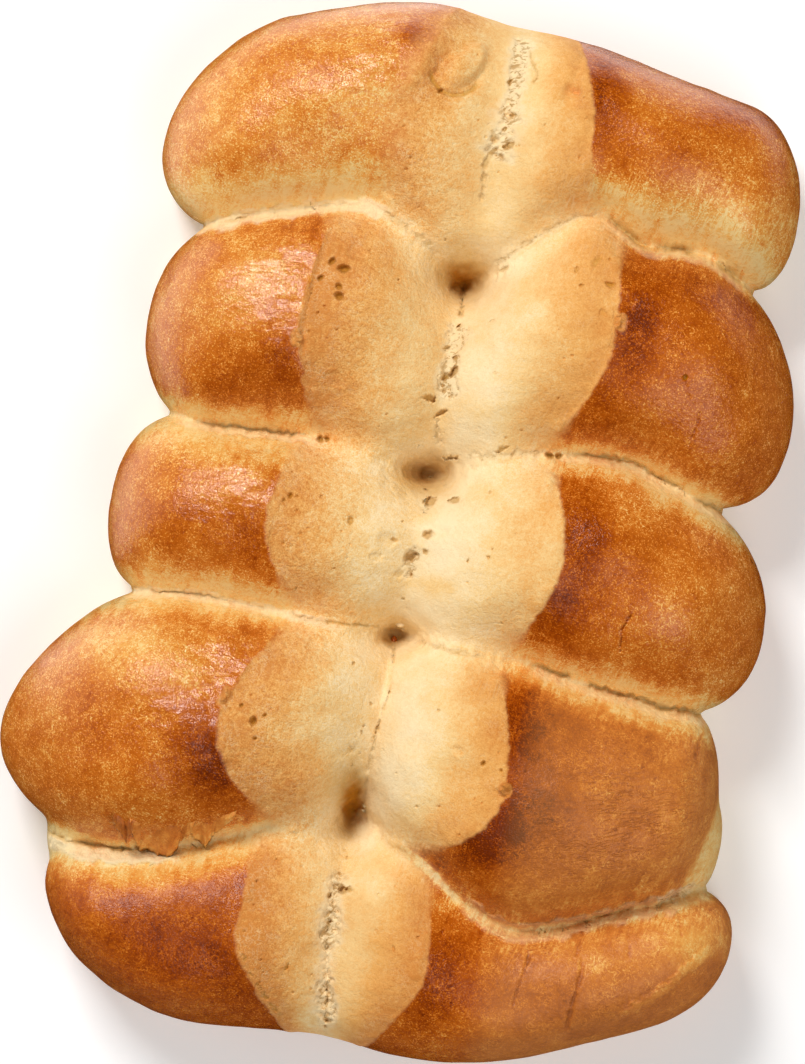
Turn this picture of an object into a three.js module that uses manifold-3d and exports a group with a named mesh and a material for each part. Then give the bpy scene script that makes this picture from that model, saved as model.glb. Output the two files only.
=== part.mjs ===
// A pull-apart loaf: five rolls of dough laid side by side, slit along the middle and baked into one piece.
// Millimetres, +Z up. +X runs along the rolls, +Y from the front roll to the back one.
// The origin is the centre of the loaf's box, on the surface that the loaf lies on.
import * as THREE from "three";
import { mergeVertices } from "three/addons/utils/BufferGeometryUtils.js";
import Module from "manifold-3d";

// Section of a roll, seen along X
const WIDEST_HEIGHT = 22; // height of the widest place above the base
const FREE_BELLY = 35; // from the widest place down to where a free side's round would close, below the base
const SHARED_BELLY = 110; // the same for a side that has grown on to the next roll
const ROUNDNESS = 2.2; // exponent of the section: 2 is an ellipse, more is boxier

// How neighbouring rolls grow together
const BITE = 1.7; // how far each roll reaches past the seam it shares
const WEB = 2.2; // how much further it reaches between the pale faces
const WEB_WIDTH = 30;
const PINCH = 1.2; // how much of the bite is lost at the slit, which leaves a pit there
const PINCH_WIDTH = 10;

// Outer ends of the rolls
const END_DROOP = 0.32; // share of the rise lost at the very end
const DROOP_LENGTH = 48;

// The pale faces of the slit, and the crust's edge that stands proud of them
const EDGE_POWER = 1.45; // how sharply the crust's edge turns half-way across a roll: 1 is a corner
const LIP_HEIGHT = 1.1;
const LIP_WIDTH = 1.2;
const LIP_FADE = 14; // distance over which the pale face rises back to the full round
const FACE_BULGE = 1.8; // exponent of the pale face's round: 1 is a straight slope, 2 a quarter round

// Slow unevenness of the dough
const LUMP_HEIGHT = 0.9;
const LUMP_LENGTH = [46, 35]; // along and across the rolls
const LUMP_SHIFT = [10, 2];

// Fineness of the mesh
const AROUND = 28;
const END_STATIONS = 11; // from an outer end to the crust's edge
const FACE_STATIONS = 8; // from the crust's edge to the bottom of the slit
const END_CROWDING = 0.75; // how strongly the stations crowd towards an outer end
const TEAR_STEPS = 14;
const WELD_DISTANCE = 1e-3;

const CRUST_COLOUR = "#bf7a32";

// Lines across the loaf from back to front, each from left to right as [x, y]:
// the loaf's back edge, the four seams between rolls, and the loaf's front edge.
const EDGES = [
  [[-86, 117], [-60, 131], [-40, 138], [-20, 142], [0, 139.5], [20, 138.5], [50, 133], [70, 129], [86, 124]],
  [[-86, 69], [-74, 71], [-50, 79], [-25, 83], [0, 67], [30, 92], [45, 87], [62, 87], [79, 79], [95, 72]],
  [[-84, 21], [-60, 19], [-30, 20], [0, 16], [32, 27], [50, 28], [70, 22], [96, 14]],
  [[-102, -44], [-82, -32], [-60, -27], [-30, -27.5], [-1, -28], [30, -29], [55, -33], [96, -37]],
  [[-102, -97], [-60, -97], [-20, -82], [-4, -78], [14, -85], [30, -96], [45, -100], [80, -87], [102, -80]],
  [[-84, -121], [-60, -136], [-40, -141], [-5, -138.5], [20, -140.5], [40, -138.5], [60, -132], [102, -113]],
];

// The rolls from back to front. slit: place of the slit and its depth below the crown.
// For each half, reach: distance of the outer end from the middle; round: length of the rounded end;
// crown: height of the top; edge: distance of the crust's edge from the middle, at the front, half-way
// and at the back; lip: share of the full step at the crust's edge.
const ROLLS = [
  {
    slit: { x: 1.5, depth: 9 },
    left: { reach: 86.5, round: 28, crown: 54, edge: [25, 25, 15], lip: 0 },
    right: { reach: 86.5, round: 18, crown: 54, edge: [32, 27, 19], lip: 0.4 },
  },
  {
    slit: { x: -0.5, depth: 17 },
    left: { reach: 82.5, round: 20, crown: 58, edge: [30, 41, 36], lip: 1 },
    right: { reach: 94.5, round: 30, crown: 60, edge: [28, 42, 38], lip: 0.6 },
  },
  {
    slit: { x: 0, depth: 15 },
    left: { reach: 84, round: 21, crown: 57, edge: [26, 41, 35], lip: 0.5 },
    right: { reach: 96.5, round: 27, crown: 60, edge: [26, 38.5, 29], lip: 0.2 },
  },
  {
    slit: { x: -2, depth: 20 },
    left: { reach: 102.5, round: 45, crown: 62, edge: [20, 44, 26], lip: 0.5 },
    right: { reach: 92, round: 14, crown: 62, edge: [8, 34, 26], lip: 0.2 },
  },
  {
    slit: { x: -4, depth: 11 },
    left: { reach: 83.5, round: 15, crown: 52, edge: [12, 30, 28], lip: 0.2 },
    right: { reach: 102.5, round: 18, crown: 50, edge: [8, 22, 16], lip: 0.2 },
  },
];

// Webs of dough that fill the corners between the ends of the two front rolls, on the right and on the left.
const END_WEBS = [
  { middle: [88, -70, 15], halfSizes: [7.5, 16, 22] },
  { middle: [-79, -95, 12], halfSizes: [7, 13, 20] },
];
const END_WEB_SIDES = [16, 12];

// Places where the crumb has torn open along the slit.
// path: the tear's middle line; jag: sideways swing of its edges.
const TEARS = [
  { roll: 0, path: [[3, 131], [5, 117], [2, 97]], width: 3.2, depth: 2, jag: 0.8 },
  { roll: 1, path: [[1, 57], [0, 46], [1, 36]], width: 4, depth: 2, jag: 0.7 },
  { roll: 2, path: [[1, -3], [-1, -8], [-1, -13]], width: 3, depth: 1.8, jag: 0.7 },
  { roll: 4, path: [[-5, -91], [-5, -109], [-2, -134]], width: 4, depth: 2.8, jag: 0.9 },
];

// Flaps and crusty nubs that stand out of the round. size: half length, half width and half height;
// turn: direction of the length, in degrees from +X.
const NUBS = [
  { roll: 0, at: [-11, 127], size: [11, 6.5, 2.6], turn: 105 },
  { roll: 0, at: [14, 127], size: [9, 5, 2.2], turn: 80 },
  { roll: 1, at: [43, 64], size: [5, 2.6, 2], turn: 70 },
  { roll: 3, at: [-45, -51], size: [5.5, 2.2, 1.8], turn: 60 },
  { roll: 3, at: [34, -63], size: [4.5, 2.2, 1.8], turn: 95 },
  { roll: 3, at: [-52, -93], size: [7, 2.4, 3], turn: 20 },
  { roll: 4, at: [84, -87], size: [8, 2.4, 3], turn: 32 },
];
const NUB_SIDES = [10, 7];
const NUB_SUNK = 0.45; // share of a nub's half height that lies below the roll's round

const clamp = THREE.MathUtils.clamp;
const mix = THREE.MathUtils.lerp;
const signedPower = (value, power) => Math.sign(value) * Math.abs(value) ** power;
const bell = (distance, width) => Math.exp(-((distance / width) ** 2));
const roundOff = (share, power) => (1 - clamp(Math.abs(share), 0, 1) ** power) ** (1 / power);

// y at x on a smooth line through the points, with straight run-outs past its ends.
function lineAt(points, x) {
  const last = points.length - 1;
  const slope = (i) => {
    const [a, b] = [points[Math.max(i - 1, 0)], points[Math.min(i + 1, last)]];
    return (b[1] - a[1]) / (b[0] - a[0]);
  };
  if (x <= points[0][0]) return points[0][1] + slope(0) * (x - points[0][0]);
  if (x >= points[last][0]) return points[last][1] + slope(last) * (x - points[last][0]);
  const i = points.findIndex((point) => point[0] > x) - 1;
  const [[x0, y0], [x1, y1]] = [points[i], points[i + 1]];
  const span = x1 - x0;
  const t = (x - x0) / span;
  const bend = (1 - t) * slope(i) - t * slope(i + 1);
  return mix(y0, y1, THREE.MathUtils.smoothstep(t, 0, 1)) + span * t * (1 - t) * bend;
}

// Distance of the crust's edge from the middle, at a place across the roll from -1 (front) to 1 (back).
function edgeAt(half, across) {
  const [front, middle, back] = half.edge;
  return mix(middle, across < 0 ? front : back, Math.abs(across) ** EDGE_POWER);
}

// Height of a roll's top line at x, with the crust's edge where it is at that place across the roll.
function topAt(roll, x, across) {
  const [half, other, side] = x < roll.slit.x ? [roll.left, roll.right, -1] : [roll.right, roll.left, 1];
  const edge = edgeAt(half, across);
  const face = clamp(Math.abs(x - roll.slit.x) / Math.abs(side * edge - roll.slit.x), 0, 1);
  const crown = mix((half.crown + other.crown) / 2, half.crown, face);
  const sunk = roll.slit.depth * (1 - roundOff(1 - face, FACE_BULGE));
  const inside = Math.max(edge - Math.abs(x), 0);
  const lip = half.lip * LIP_HEIGHT * Math.max(1 - inside / LIP_FADE, 0) * Math.min(inside / LIP_WIDTH, 1);
  const droop = clamp((Math.abs(x) - half.reach) / DROOP_LENGTH + 1, 0, 1);
  return WIDEST_HEIGHT + (crown - WIDEST_HEIGHT - sunk - lip) * (1 - END_DROOP * droop * droop);
}

// Middle and half width of a roll at x. It reaches past the seams that it shares, least of all at the slit.
function widthAt(index, x) {
  const fromSlit = x - ROLLS[index].slit.x;
  const bite = BITE + WEB * bell(fromSlit, WEB_WIDTH) - (WEB + PINCH) * bell(fromSlit, PINCH_WIDTH);
  const back = lineAt(EDGES[index], x) + (index > 0 ? bite : 0);
  const front = lineAt(EDGES[index + 1], x) - (index < ROLLS.length - 1 ? bite : 0);
  return { middle: (back + front) / 2, half: (back - front) / 2 };
}

// Share of its full section that a roll keeps at x: 1 along its length, down to 0 at its outer ends.
function fullnessAt(roll, x) {
  const half = x < roll.slit.x ? roll.left : roll.right;
  return roundOff(Math.max((Math.abs(x) - half.reach) / half.round + 1, 0), ROUNDNESS);
}

// Slow swelling and sinking of the dough over the loaf.
function lumpAt(x, y) {
  const wave = (value, i) => Math.sin((2 * Math.PI * (value + LUMP_SHIFT[i])) / LUMP_LENGTH[i]);
  return LUMP_HEIGHT * wave(x, 0) * wave(y, 1);
}

// The point of a roll's skin at x, where across and up go round the section, each from -1 to 1.
function skinPoint(index, x, across, up) {
  const roll = ROLLS[index];
  const full = fullnessAt(roll, x);
  const width = widthAt(index, x);
  const y = width.middle + across * full * width.half;
  const shared = across > 0 ? index > 0 : index < ROLLS.length - 1;
  const belly = shared ? SHARED_BELLY : FREE_BELLY;
  const rise = up > 0 ? topAt(roll, x, across) - WIDEST_HEIGHT + lumpAt(x, y) : belly;
  return new THREE.Vector3(x, y, WIDEST_HEIGHT + up * full * rise);
}

// Height of a roll's top side above x and y.
function heightAt(index, x, y) {
  const width = widthAt(index, x);
  const across = clamp((y - width.middle) / (width.half * fullnessAt(ROLLS[index], x)), -1, 1);
  return skinPoint(index, x, across, roundOff(across, ROUNDNESS)).z;
}

// The x of every station along a roll, from its left end to its right end, at one place across it.
// Stations crowd towards the ends, and two of them carry the step at each crust edge.
function stationsAt(roll, across) {
  const halfStations = (half, side) => {
    const edge = side * edgeAt(half, across);
    const inner = edge - side * LIP_WIDTH;
    const onFace = Array.from({ length: FACE_STATIONS }, (_, i) => (i + 1) / FACE_STATIONS);
    const towardsEnd = Array.from({ length: END_STATIONS + 1 }, (_, i) => i / END_STATIONS);
    return [
      ...onFace.map((share) => mix(roll.slit.x, inner, share)),
      ...towardsEnd.map((share) => {
        const crowded = mix(share, Math.sin((share * Math.PI) / 2), END_CROWDING);
        return mix(edge, side * half.reach, crowded);
      }),
    ];
  };
  return [...halfStations(roll.left, -1).reverse(), roll.slit.x, ...halfStations(roll.right, 1)];
}

// One roll as a closed skin: a ball whose poles are the outer ends, shaped station by station.
function rollGeometry(index) {
  const along = 2 * (END_STATIONS + FACE_STATIONS + 1);
  const geometry = new THREE.SphereGeometry(1, AROUND, along).rotateZ(-Math.PI / 2);
  const position = geometry.attributes.position;
  for (let i = 0; i < position.count; i++) {
    const station = along - Math.floor(i / (AROUND + 1));
    const [y, z] = [position.getY(i), position.getZ(i)];
    const ring = Math.hypot(y, z) || 1;
    const across = signedPower(y / ring, 2 / ROUNDNESS);
    const up = signedPower(z / ring, 2 / ROUNDNESS);
    const point = skinPoint(index, stationsAt(ROLLS[index], across)[station], across, up);
    position.setXYZ(i, point.x, point.y, point.z);
  }
  return geometry;
}

function endWebGeometry({ middle, halfSizes }) {
  return new THREE.SphereGeometry(1, ...END_WEB_SIDES).scale(...halfSizes).translate(...middle);
}

// What a tear takes away: a four-sided rod along the tear, half sunk in the roll, pointed at both ends.
function tearGeometry({ roll, path, width, depth, jag }) {
  const sides = 4;
  const geometry = new THREE.CylinderGeometry(1, 1, 1, sides, TEAR_STEPS);
  const curve = new THREE.CatmullRomCurve3(path.map(([x, y]) => new THREE.Vector3(x, y, 0)));
  const position = geometry.attributes.position;
  for (let i = 0; i < position.count; i++) {
    const share = 0.5 - position.getY(i);
    const step = Math.round(share * TEAR_STEPS);
    const middle = curve.getPoint(share);
    const open = roundOff(2 * share - 1, 2) + 1 / TEAR_STEPS;
    const swing = step % 2 ? jag : -jag;
    const x = middle.x + swing + (position.getX(i) * open * width) / 2;
    const z = heightAt(roll, middle.x, middle.y) + position.getZ(i) * open * depth;
    position.setXYZ(i, x, middle.y, z);
  }
  return geometry;
}

// A nub: a flat ball that lies on the roll and follows its slope.
function nubGeometry({ roll, at: [x, y], size, turn }) {
  const geometry = new THREE.SphereGeometry(1, ...NUB_SIDES).rotateX(Math.PI / 2).scale(...size);
  const reach = size[1];
  const slopeX = (heightAt(roll, x + reach, y) - heightAt(roll, x - reach, y)) / (2 * reach);
  const slopeY = (heightAt(roll, x, y + reach) - heightAt(roll, x, y - reach)) / (2 * reach);
  const normal = new THREE.Vector3(-slopeX, -slopeY, 1).normalize();
  const tilt = new THREE.Quaternion().setFromUnitVectors(new THREE.Vector3(0, 0, 1), normal);
  geometry.rotateZ(THREE.MathUtils.degToRad(turn));
  geometry.applyQuaternion(tilt);
  return geometry.translate(x, y, heightAt(roll, x, y) - NUB_SUNK * size[2]);
}

// The space below the surface that the loaf was baked on.
function belowBase() {
  const side = 400;
  return new THREE.BoxGeometry(side, side, side).translate(0, 0, -side / 2);
}

const wasm = await Module();
wasm.setup();

// A closed skin as a solid that can be joined and cut.
function solidOf(geometry) {
  const bare = new THREE.BufferGeometry();
  bare.setAttribute("position", geometry.attributes.position);
  bare.setIndex(geometry.index);
  const merged = mergeVertices(bare, WELD_DISTANCE);
  const vertProperties = new Float32Array(merged.attributes.position.array);
  const triVerts = new Uint32Array(merged.index.array);
  return new wasm.Manifold(new wasm.Mesh({ numProp: 3, vertProperties, triVerts }));
}

function geometryOf(solid) {
  const mesh = solid.getMesh();
  const geometry = new THREE.BufferGeometry();
  geometry.setAttribute("position", new THREE.BufferAttribute(mesh.vertProperties, mesh.numProp));
  geometry.setIndex(new THREE.BufferAttribute(mesh.triVerts, 1));
  geometry.computeVertexNormals();
  return geometry;
}

function loafGeometry() {
  const rolls = ROLLS.map((_, index) => rollGeometry(index));
  const grown = [...rolls, ...END_WEBS.map(endWebGeometry), ...NUBS.map(nubGeometry)];
  const missing = [...TEARS.map(tearGeometry), belowBase()];
  const joined = grown.map(solidOf).reduce((loaf, piece) => loaf.add(piece));
  const geometry = geometryOf(missing.map(solidOf).reduce((loaf, piece) => loaf.subtract(piece), joined));
  geometry.computeBoundingBox();
  const centre = geometry.boundingBox.getCenter(new THREE.Vector3());
  return geometry.translate(-centre.x, -centre.y, 0);
}

const crust = new THREE.MeshStandardMaterial({ color: CRUST_COLOUR, roughness: 0.45, metalness: 0 });
const loaf = new THREE.Mesh(loafGeometry(), crust);
loaf.name = "loaf";

const part = new THREE.Group();
part.add(loaf);
export default part;
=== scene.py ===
"""Looks of a pull-apart loaf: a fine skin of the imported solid's form, with its relief and colours.

Lengths are millimetres in the loaf's own frame until a mesh is made: +X runs along the rolls, +Y from the
front roll to the back one, +Z up, and z = 0 is the surface that the loaf lies on.
"""
import math

import bpy
import numpy as np
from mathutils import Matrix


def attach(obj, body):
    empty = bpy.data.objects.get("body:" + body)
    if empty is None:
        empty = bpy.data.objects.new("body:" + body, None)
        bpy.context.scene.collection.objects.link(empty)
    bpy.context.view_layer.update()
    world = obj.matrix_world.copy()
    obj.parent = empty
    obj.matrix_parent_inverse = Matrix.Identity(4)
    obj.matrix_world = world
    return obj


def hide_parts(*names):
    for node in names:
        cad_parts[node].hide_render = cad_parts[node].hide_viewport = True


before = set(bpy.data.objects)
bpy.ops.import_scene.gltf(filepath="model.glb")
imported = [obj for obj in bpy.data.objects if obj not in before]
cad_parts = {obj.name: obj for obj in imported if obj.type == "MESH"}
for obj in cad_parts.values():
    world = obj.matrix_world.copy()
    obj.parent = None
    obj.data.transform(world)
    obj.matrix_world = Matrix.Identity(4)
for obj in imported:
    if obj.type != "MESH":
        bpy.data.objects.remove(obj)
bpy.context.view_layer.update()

MM = 0.001
SEED = 7
UP = np.array((0.0, 0.0, 1.0))

# Section of a roll, seen along X
WIDEST_HEIGHT = 22.0
FREE_BELLY = 35.0
SHARED_BELLY = 110.0
ROUNDNESS = 2.2

# How neighbouring rolls grow together
BITE = 1.7
WEB = 2.2
WEB_WIDTH = 30.0
PINCH = 1.2
PINCH_WIDTH = 10.0

# Outer ends of the rolls
END_DROOP = 0.32
DROOP_LENGTH = 48.0
LEAST_FULL = 0.05  # share of a roll's width that is left at its very end

# The pale faces of the slit, and the crust's edge that stands proud of them
EDGE_POWER = 1.45
EDGE_ROUND = 0.2
LIP_HEIGHT = 1.1
LIP_WIDTH = 1.2
LIP_FADE = 14.0
FACE_BULGE = 1.8

# Slow unevenness of the dough
LUMP_HEIGHT = 0.9
LUMP_LENGTH = (46.0, 35.0)
LUMP_SHIFT = (10.0, 2.0)

# Lines across the loaf from back to front, each from left to right:
# the back edge, the four seams between rolls, and the front edge.
EDGES = [
    [(-86, 117), (-60, 131), (-40, 138), (-20, 142), (0, 139.5), (20, 138.5), (50, 133), (70, 129),
     (86, 124)],
    [(-86, 69), (-74, 71), (-50, 79), (-25, 83), (0, 67), (30, 92), (45, 87), (62, 87), (79, 79), (95, 72)],
    [(-84, 21), (-60, 19), (-30, 20), (0, 16), (32, 27), (50, 28), (70, 22), (96, 14)],
    [(-102, -44), (-82, -32), (-60, -27), (-30, -27.5), (-1, -28), (30, -29), (55, -33), (96, -37)],
    [(-102, -97), (-60, -97), (-20, -82), (-4, -78), (14, -85), (30, -96), (45, -100), (80, -87), (102, -80)],
    [(-84, -121), (-60, -136), (-40, -141), (-5, -138.5), (20, -140.5), (40, -138.5), (60, -132),
     (102, -113)],
]

# The rolls from back to front.
# slit: its place, its depth below the crown and the half width of its round bottom.
# For each half, reach: of its outer end. round: length of the end's round. crown: height of its top.
# edge: distance of the crust's edge from the middle at the roll's front, half-way and back.
# lip: how clearly the crust's edge stands proud. tone: how brown the half is on the whole.
# toast: how toasted its pale face is at the slit and at the crust's edge; the left halves' higher toast at
# the slit is partly painted warm shade of their faces, which turn away from the light.
# pale: width of the pale band along its back and front seams.
ROLLS = [
    {
        "slit": (1.5, 9.0, 3.5),
        "left": {"reach": 86.5, "round": 28, "crown": 54, "edge": (25, 25, 15), "lip": 0.0,
                 "tone": 0.40, "toast": (0.4, 0.8), "pale": (0.1, 10)},
        "right": {"reach": 86.5, "round": 18, "crown": 54, "edge": (32, 27, 19), "lip": 0.4,
                  "tone": 0.56, "toast": (0.25, 0.75), "pale": (0.1, 9)},
    },
    {
        "slit": (-0.5, 17.0, 1.8),
        "left": {"reach": 82.5, "round": 20, "crown": 58, "edge": (30, 41, 36), "lip": 1.0,
                 "tone": 0.50, "toast": (0.36, 1.0), "pale": (2, 5)},
        "right": {"reach": 94.5, "round": 30, "crown": 60, "edge": (28, 42, 38), "lip": 0.6,
                  "tone": 0.62, "toast": (0.12, 0.75), "pale": (2.6, 3.2)},
    },
    {
        "slit": (0.0, 15.0, 3.0),
        "left": {"reach": 84, "round": 21, "crown": 57, "edge": (26, 41, 35), "lip": 0.5,
                 "tone": 0.52, "toast": (0.22, 0.8), "pale": (8, 6)},
        "right": {"reach": 96.5, "round": 27, "crown": 60, "edge": (26, 38.5, 29), "lip": 0.2,
                  "tone": 0.61, "toast": (0.05, 0.5), "pale": (5, 5)},
    },
    {
        "slit": (-2.0, 20.0, 1.0),
        "left": {"reach": 102.5, "round": 45, "crown": 62, "edge": (20, 44, 26), "lip": 0.5,
                 "tone": 0.52, "toast": (0.25, 0.9), "pale": (4, 2.5)},
        "right": {"reach": 92, "round": 14, "crown": 62, "edge": (8, 34, 26), "lip": 0.2,
                  "tone": 0.63, "toast": (0.08, 0.75), "pale": (5, 0.4)},
    },
    {
        "slit": (-4.0, 11.0, 1.8),
        "left": {"reach": 83.5, "round": 15, "crown": 52, "edge": (12, 30, 28), "lip": 0.2,
                 "tone": 0.66, "toast": (0.4, 1.0), "pale": (8, 0.1)},
        "right": {"reach": 102.5, "round": 18, "crown": 50, "edge": (9, 22, 17), "lip": 0.2,
                  "tone": 0.60, "toast": (0.4, 0.95), "pale": (1.8, 0.1)},
    },
]
LAST = len(ROLLS) - 1

# Webs of dough between the ends of the two front rolls, on the right and on the left: middle and half sizes
END_WEBS = [((88.0, -70.0, 15.0), (7.5, 16.0, 22.0)), ((-79.0, -95.0, 12.0), (7.0, 13.0, 20.0))]

# Darker and lighter places of the crust: x, y, half length, half width, amount. The lighter places at (-48,
# 62), (-48, 3) and (-52, -47) are painted highlights on the left rolls' glaze.
BROWNING_AND_PAINTED_HIGHLIGHTS = [
    (-48, 37, 17, 9, 0.22), (-46, -11, 15, 8, 0.10), (-42, -68, 13, 11, 0.36), (-88, -82, 12, 10, 0.1),
    (27, 120, 6, 13, 0.2), (46, 76, 8, 9, 0.08), (50, 57, 9, 8, 0.12), (44, 4, 8, 13, 0.17),
    (40, -16, 12, 7, 0.12), (37, -45, 10, 8, 0.18), (32, -76, 10, 9, 0.36), (-42, -122, 18, 9, 0.22),
    (24, -116, 9, 13, 0.2), (-25, 130, 5, 4, 0.3), (-70, -42, 22, 9, -0.22), (62, 95, 30, 13, -0.34),
    (90, -97, 12, 8, -0.2), (-55, 112, 20, 12, -0.06), (70, -10, 20, 14, -0.04), (68, 42, 18, 14, -0.02),
    (-48, 62, 10, 8, -0.16), (-48, 3, 8, 6, -0.14), (-52, -47, 10, 7, -0.12), (-60, 28, 14, 6, 0.14),
    (85, -55, 12, 20, -0.1), (85, -8, 10, 14, -0.08), (55, 18, 14, 6, -0.1), (50, -90, 14, 6, -0.08),
    (-30, 110, 9, 14, -0.18), (-63, -6, 10, 6, 0.18), (66, 76, 14, 7, 0.24), (-55, -114, 16, 7, 0.1),
    (46, -62, 9, 10, 0.14), (48, 66, 5, 5, 0.25), (-60, 52, 12, 8, -0.15), (-92, -68, 8, 12, -0.06),
    (87, -91, 10, 6, -0.2), (62, -103, 16, 5, -0.12), (50, 110, 13, 9, 0.14), (-55, 116, 19, 10, 0.1),
    (74, 106, 10, 8, 0.06), (55, -119, 24, 8, 0.1), (98, -102, 5, 5, 0.2), (-68.5, 83, 2.2, 5, 0.25),
    (-70, -65, 16, 10, 0.1), (-27.5, 92.5, 4, 4.5, 0.3), (-60, -103, 13, 5, -0.1), (80, -60, 10, 12, -0.08),
    (-81, -5, 6, 10, -0.08), (70, 126, 14, 5, 0.12), (22, -97, 10, 6, -0.2), (44, -101, 9, 3, 0.08),
]

# Toasted and paler places of the faces: x, y, half length, half width, amount
TOASTING = [
    (-20, -70, 8, 8, 0.3), (-22, -22, 9, 6, 0.15), (-12, 4, 7, 6, -0.1), (-20, -116, 12, 14, 0.12),
    (-3, 77, 18, 9, -0.1), (-4, 21, 12, 9, -0.08), (-19, 22, 7, 5, 0.12), (-13, -25, 9, 4, 0.2),
    (-6, -84, 14, 12, -0.18), (-6, -50, 7, 22, -0.06), (6, -13, 7, 3, 0.2), (8, -95, 7, 6, -0.2),
]

# Deep pits where rolls meet on the slit, each a funnel and its core: x, y, half length along x and y, depth
PITS = [
    (-1, 70, 9.0, 7.5, 6.5), (0, 68, 3.4, 3.4, 2.6),
    (-1.8, 15.8, 11.0, 9.0, 5.6), (-1.0, 15.6, 4.0, 3.0, 1.2),
    (-3, -27, 7.0, 7.0, 4.5), (-2.3, -28.5, 2.4, 3.2, 1.2),
    (-6.5, -73, 6.4, 15.0, 5.6), (-5.0, -75.5, 2.6, 7.0, 5.0),
]

# Torn and creased lines: path, width, depth, swing of its edges, and how pale its torn crumb is
TEARS = [
    ([(4.5, 137), (4.4, 128), (4.2, 118), (4, 111)], 4.4, 1.1, 1.0, 1.0),
    ([(4.6, 115), (3.4, 107), (1.6, 101)], 8.0, 1.2, 1.2, 1.0),
    ([(1.2, 104), (0, 99), (0.4, 94), (0.9, 89)], 1.4, 0.9, 0.5, 0.4),
    ([(0.2, 68), (0.5, 62), (1, 58.5)], 1.3, 1.8, 0.3, 0.1),
    ([(1.2, 57.5), (0.2, 50), (0.2, 44), (0.6, 39), (2, 35)], 4.8, 0.9, 1.2, 0.9),
    ([(-0.6, 31), (-0.4, 27), (0.8, 24)], 1.4, 0.7, 0.6, 0.5),
    ([(1, 10), (0.5, 5)], 1.6, 0.5, 0.8, 0.6),
    ([(0.6, -3.5), (-1.4, -8), (-0.6, -13)], 3.0, 0.7, 1.2, 0.8),
    ([(-1.6, -31), (-0.7, -36)], 1.2, 1.2, 0.3, 0.1),
    ([(-0.5, -40), (-1.3, -48), (-2.3, -55), (-2.6, -66)], 1.0, 0.6, 0.5, 0.4),
    ([(-5, -91), (-5.5, -100), (-5.4, -109), (-4, -123), (-2.2, -133), (-2.6, -139)], 5.0, 1.6, 1.0, 1.0),
    ([(-5.8, -103), (-5.9, -109), (-4.9, -116)], 0.7, 1.2, 0.7, 0.3),
    ([(-3.6, -122), (-2.5, -130), (-2, -136)], 0.8, 1.4, 0.7, 0.3),
    ([(62, 52.5), (64, 47.7), (67.7, 44), (67.4, 40.5), (66, 34)], 0.5, 0.35, 0.3, 0.0),
    ([(59, -11), (57, -16), (58, -23)], 0.6, 0.9, 0.3, 0.0),
    ([(48.3, -104), (47.4, -111), (46, -120.5)], 0.8, 0.4, 0.25, 0.0),
    ([(62.2, -103), (62.7, -108.5), (61.7, -116), (61.4, -124.7)], 1.2, 0.7, 0.3, 0.0),
    ([(-28.5, -116), (-24, -123), (-18, -130), (-13.3, -134.4)], 0.6, 0.7, 0.5, 0.1),
    ([(-18.6, 122), (-17.4, 118.9), (-15, 116.9), (-12, 116.1), (-9, 116.6), (-6.6, 118.6), (-5.2, 121.6)],
     1.6, 0.8, 0.1, 0.0),
    ([(6.4, 133), (7.4, 129.5), (9.2, 127), (9.8, 125.2), (8.4, 123)], 1.0, 0.8, 0.3, 0.2),
    ([(6, 73), (13, 79.5), (22, 87), (29, 92.5)], 1.4, 0.5, 0.7, 0.6),
    ([(-8, 74), (-16, 79), (-25, 83)], 2.6, 0.4, 1.0, 0.5),
    ([(8, 22), (14, 23), (24, 26), (31, 27)], 1.8, 0.5, 1.0, 0.6),
    ([(2, -28.5), (12, -29.5), (24, -30)], 1.2, 0.4, 0.7, 0.4),
    ([(-4.5, -26.3), (-12, -27), (-24, -28)], 0.7, 0.7, 0.4, 0.1),
    ([(97, -95), (90, -103), (83, -111), (74, -118)], 3.4, -0.5, 0.9, 0.0),
    ([(79, -86.6), (82, -85.4), (86, -83), (90, -80)], 2.2, -1.0, 0.9, 0.8),
]

# Open gaps along the seams: seam, from x, to x, how far behind the seam's line, width, depth, open share
GAPS = [
    (1, -72, -20, 0.0, 0.8, 1.2, 0.4), (1, 33, 76, -0.3, 2.2, 2.0, 1.3), (2, -66, -29, 0.0, 0.9, 1.4, 0.65),
    (2, 30, 86, 0.5, 1.1, 1.7, 0.85), (3, -76, -14, 0.0, 0.8, 1.2, 0.45), (3, 34, 88, 0.6, 1.2, 1.9, 0.85),
    (4, -88, -52, 0.6, 1.0, 1.4, 0.7), (4, 12, 28, 0.0, 0.7, 0.8, 0.3), (4, 57, 84, 0.0, 0.9, 1.6, 1.0),
]

# Bands of pale torn crumb along the seams: seam, from x, to x, how far behind the seam's line, half width,
# share, and how far it rises in the seam
BANDS = [
    (1, -78, -20, -0.4, 2.6, 0.95, 0.6), (2, -72, -28, -0.8, 1.4, 0.6, 0.0),
    (3, -84, -18, 0.0, 1.5, 0.8, 0.4), (4, -90, -46, -1.8, 2.4, 0.95, 1.6), (4, 26, 90, -0.6, 3.0, 0.35, 1.6),
]

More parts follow.
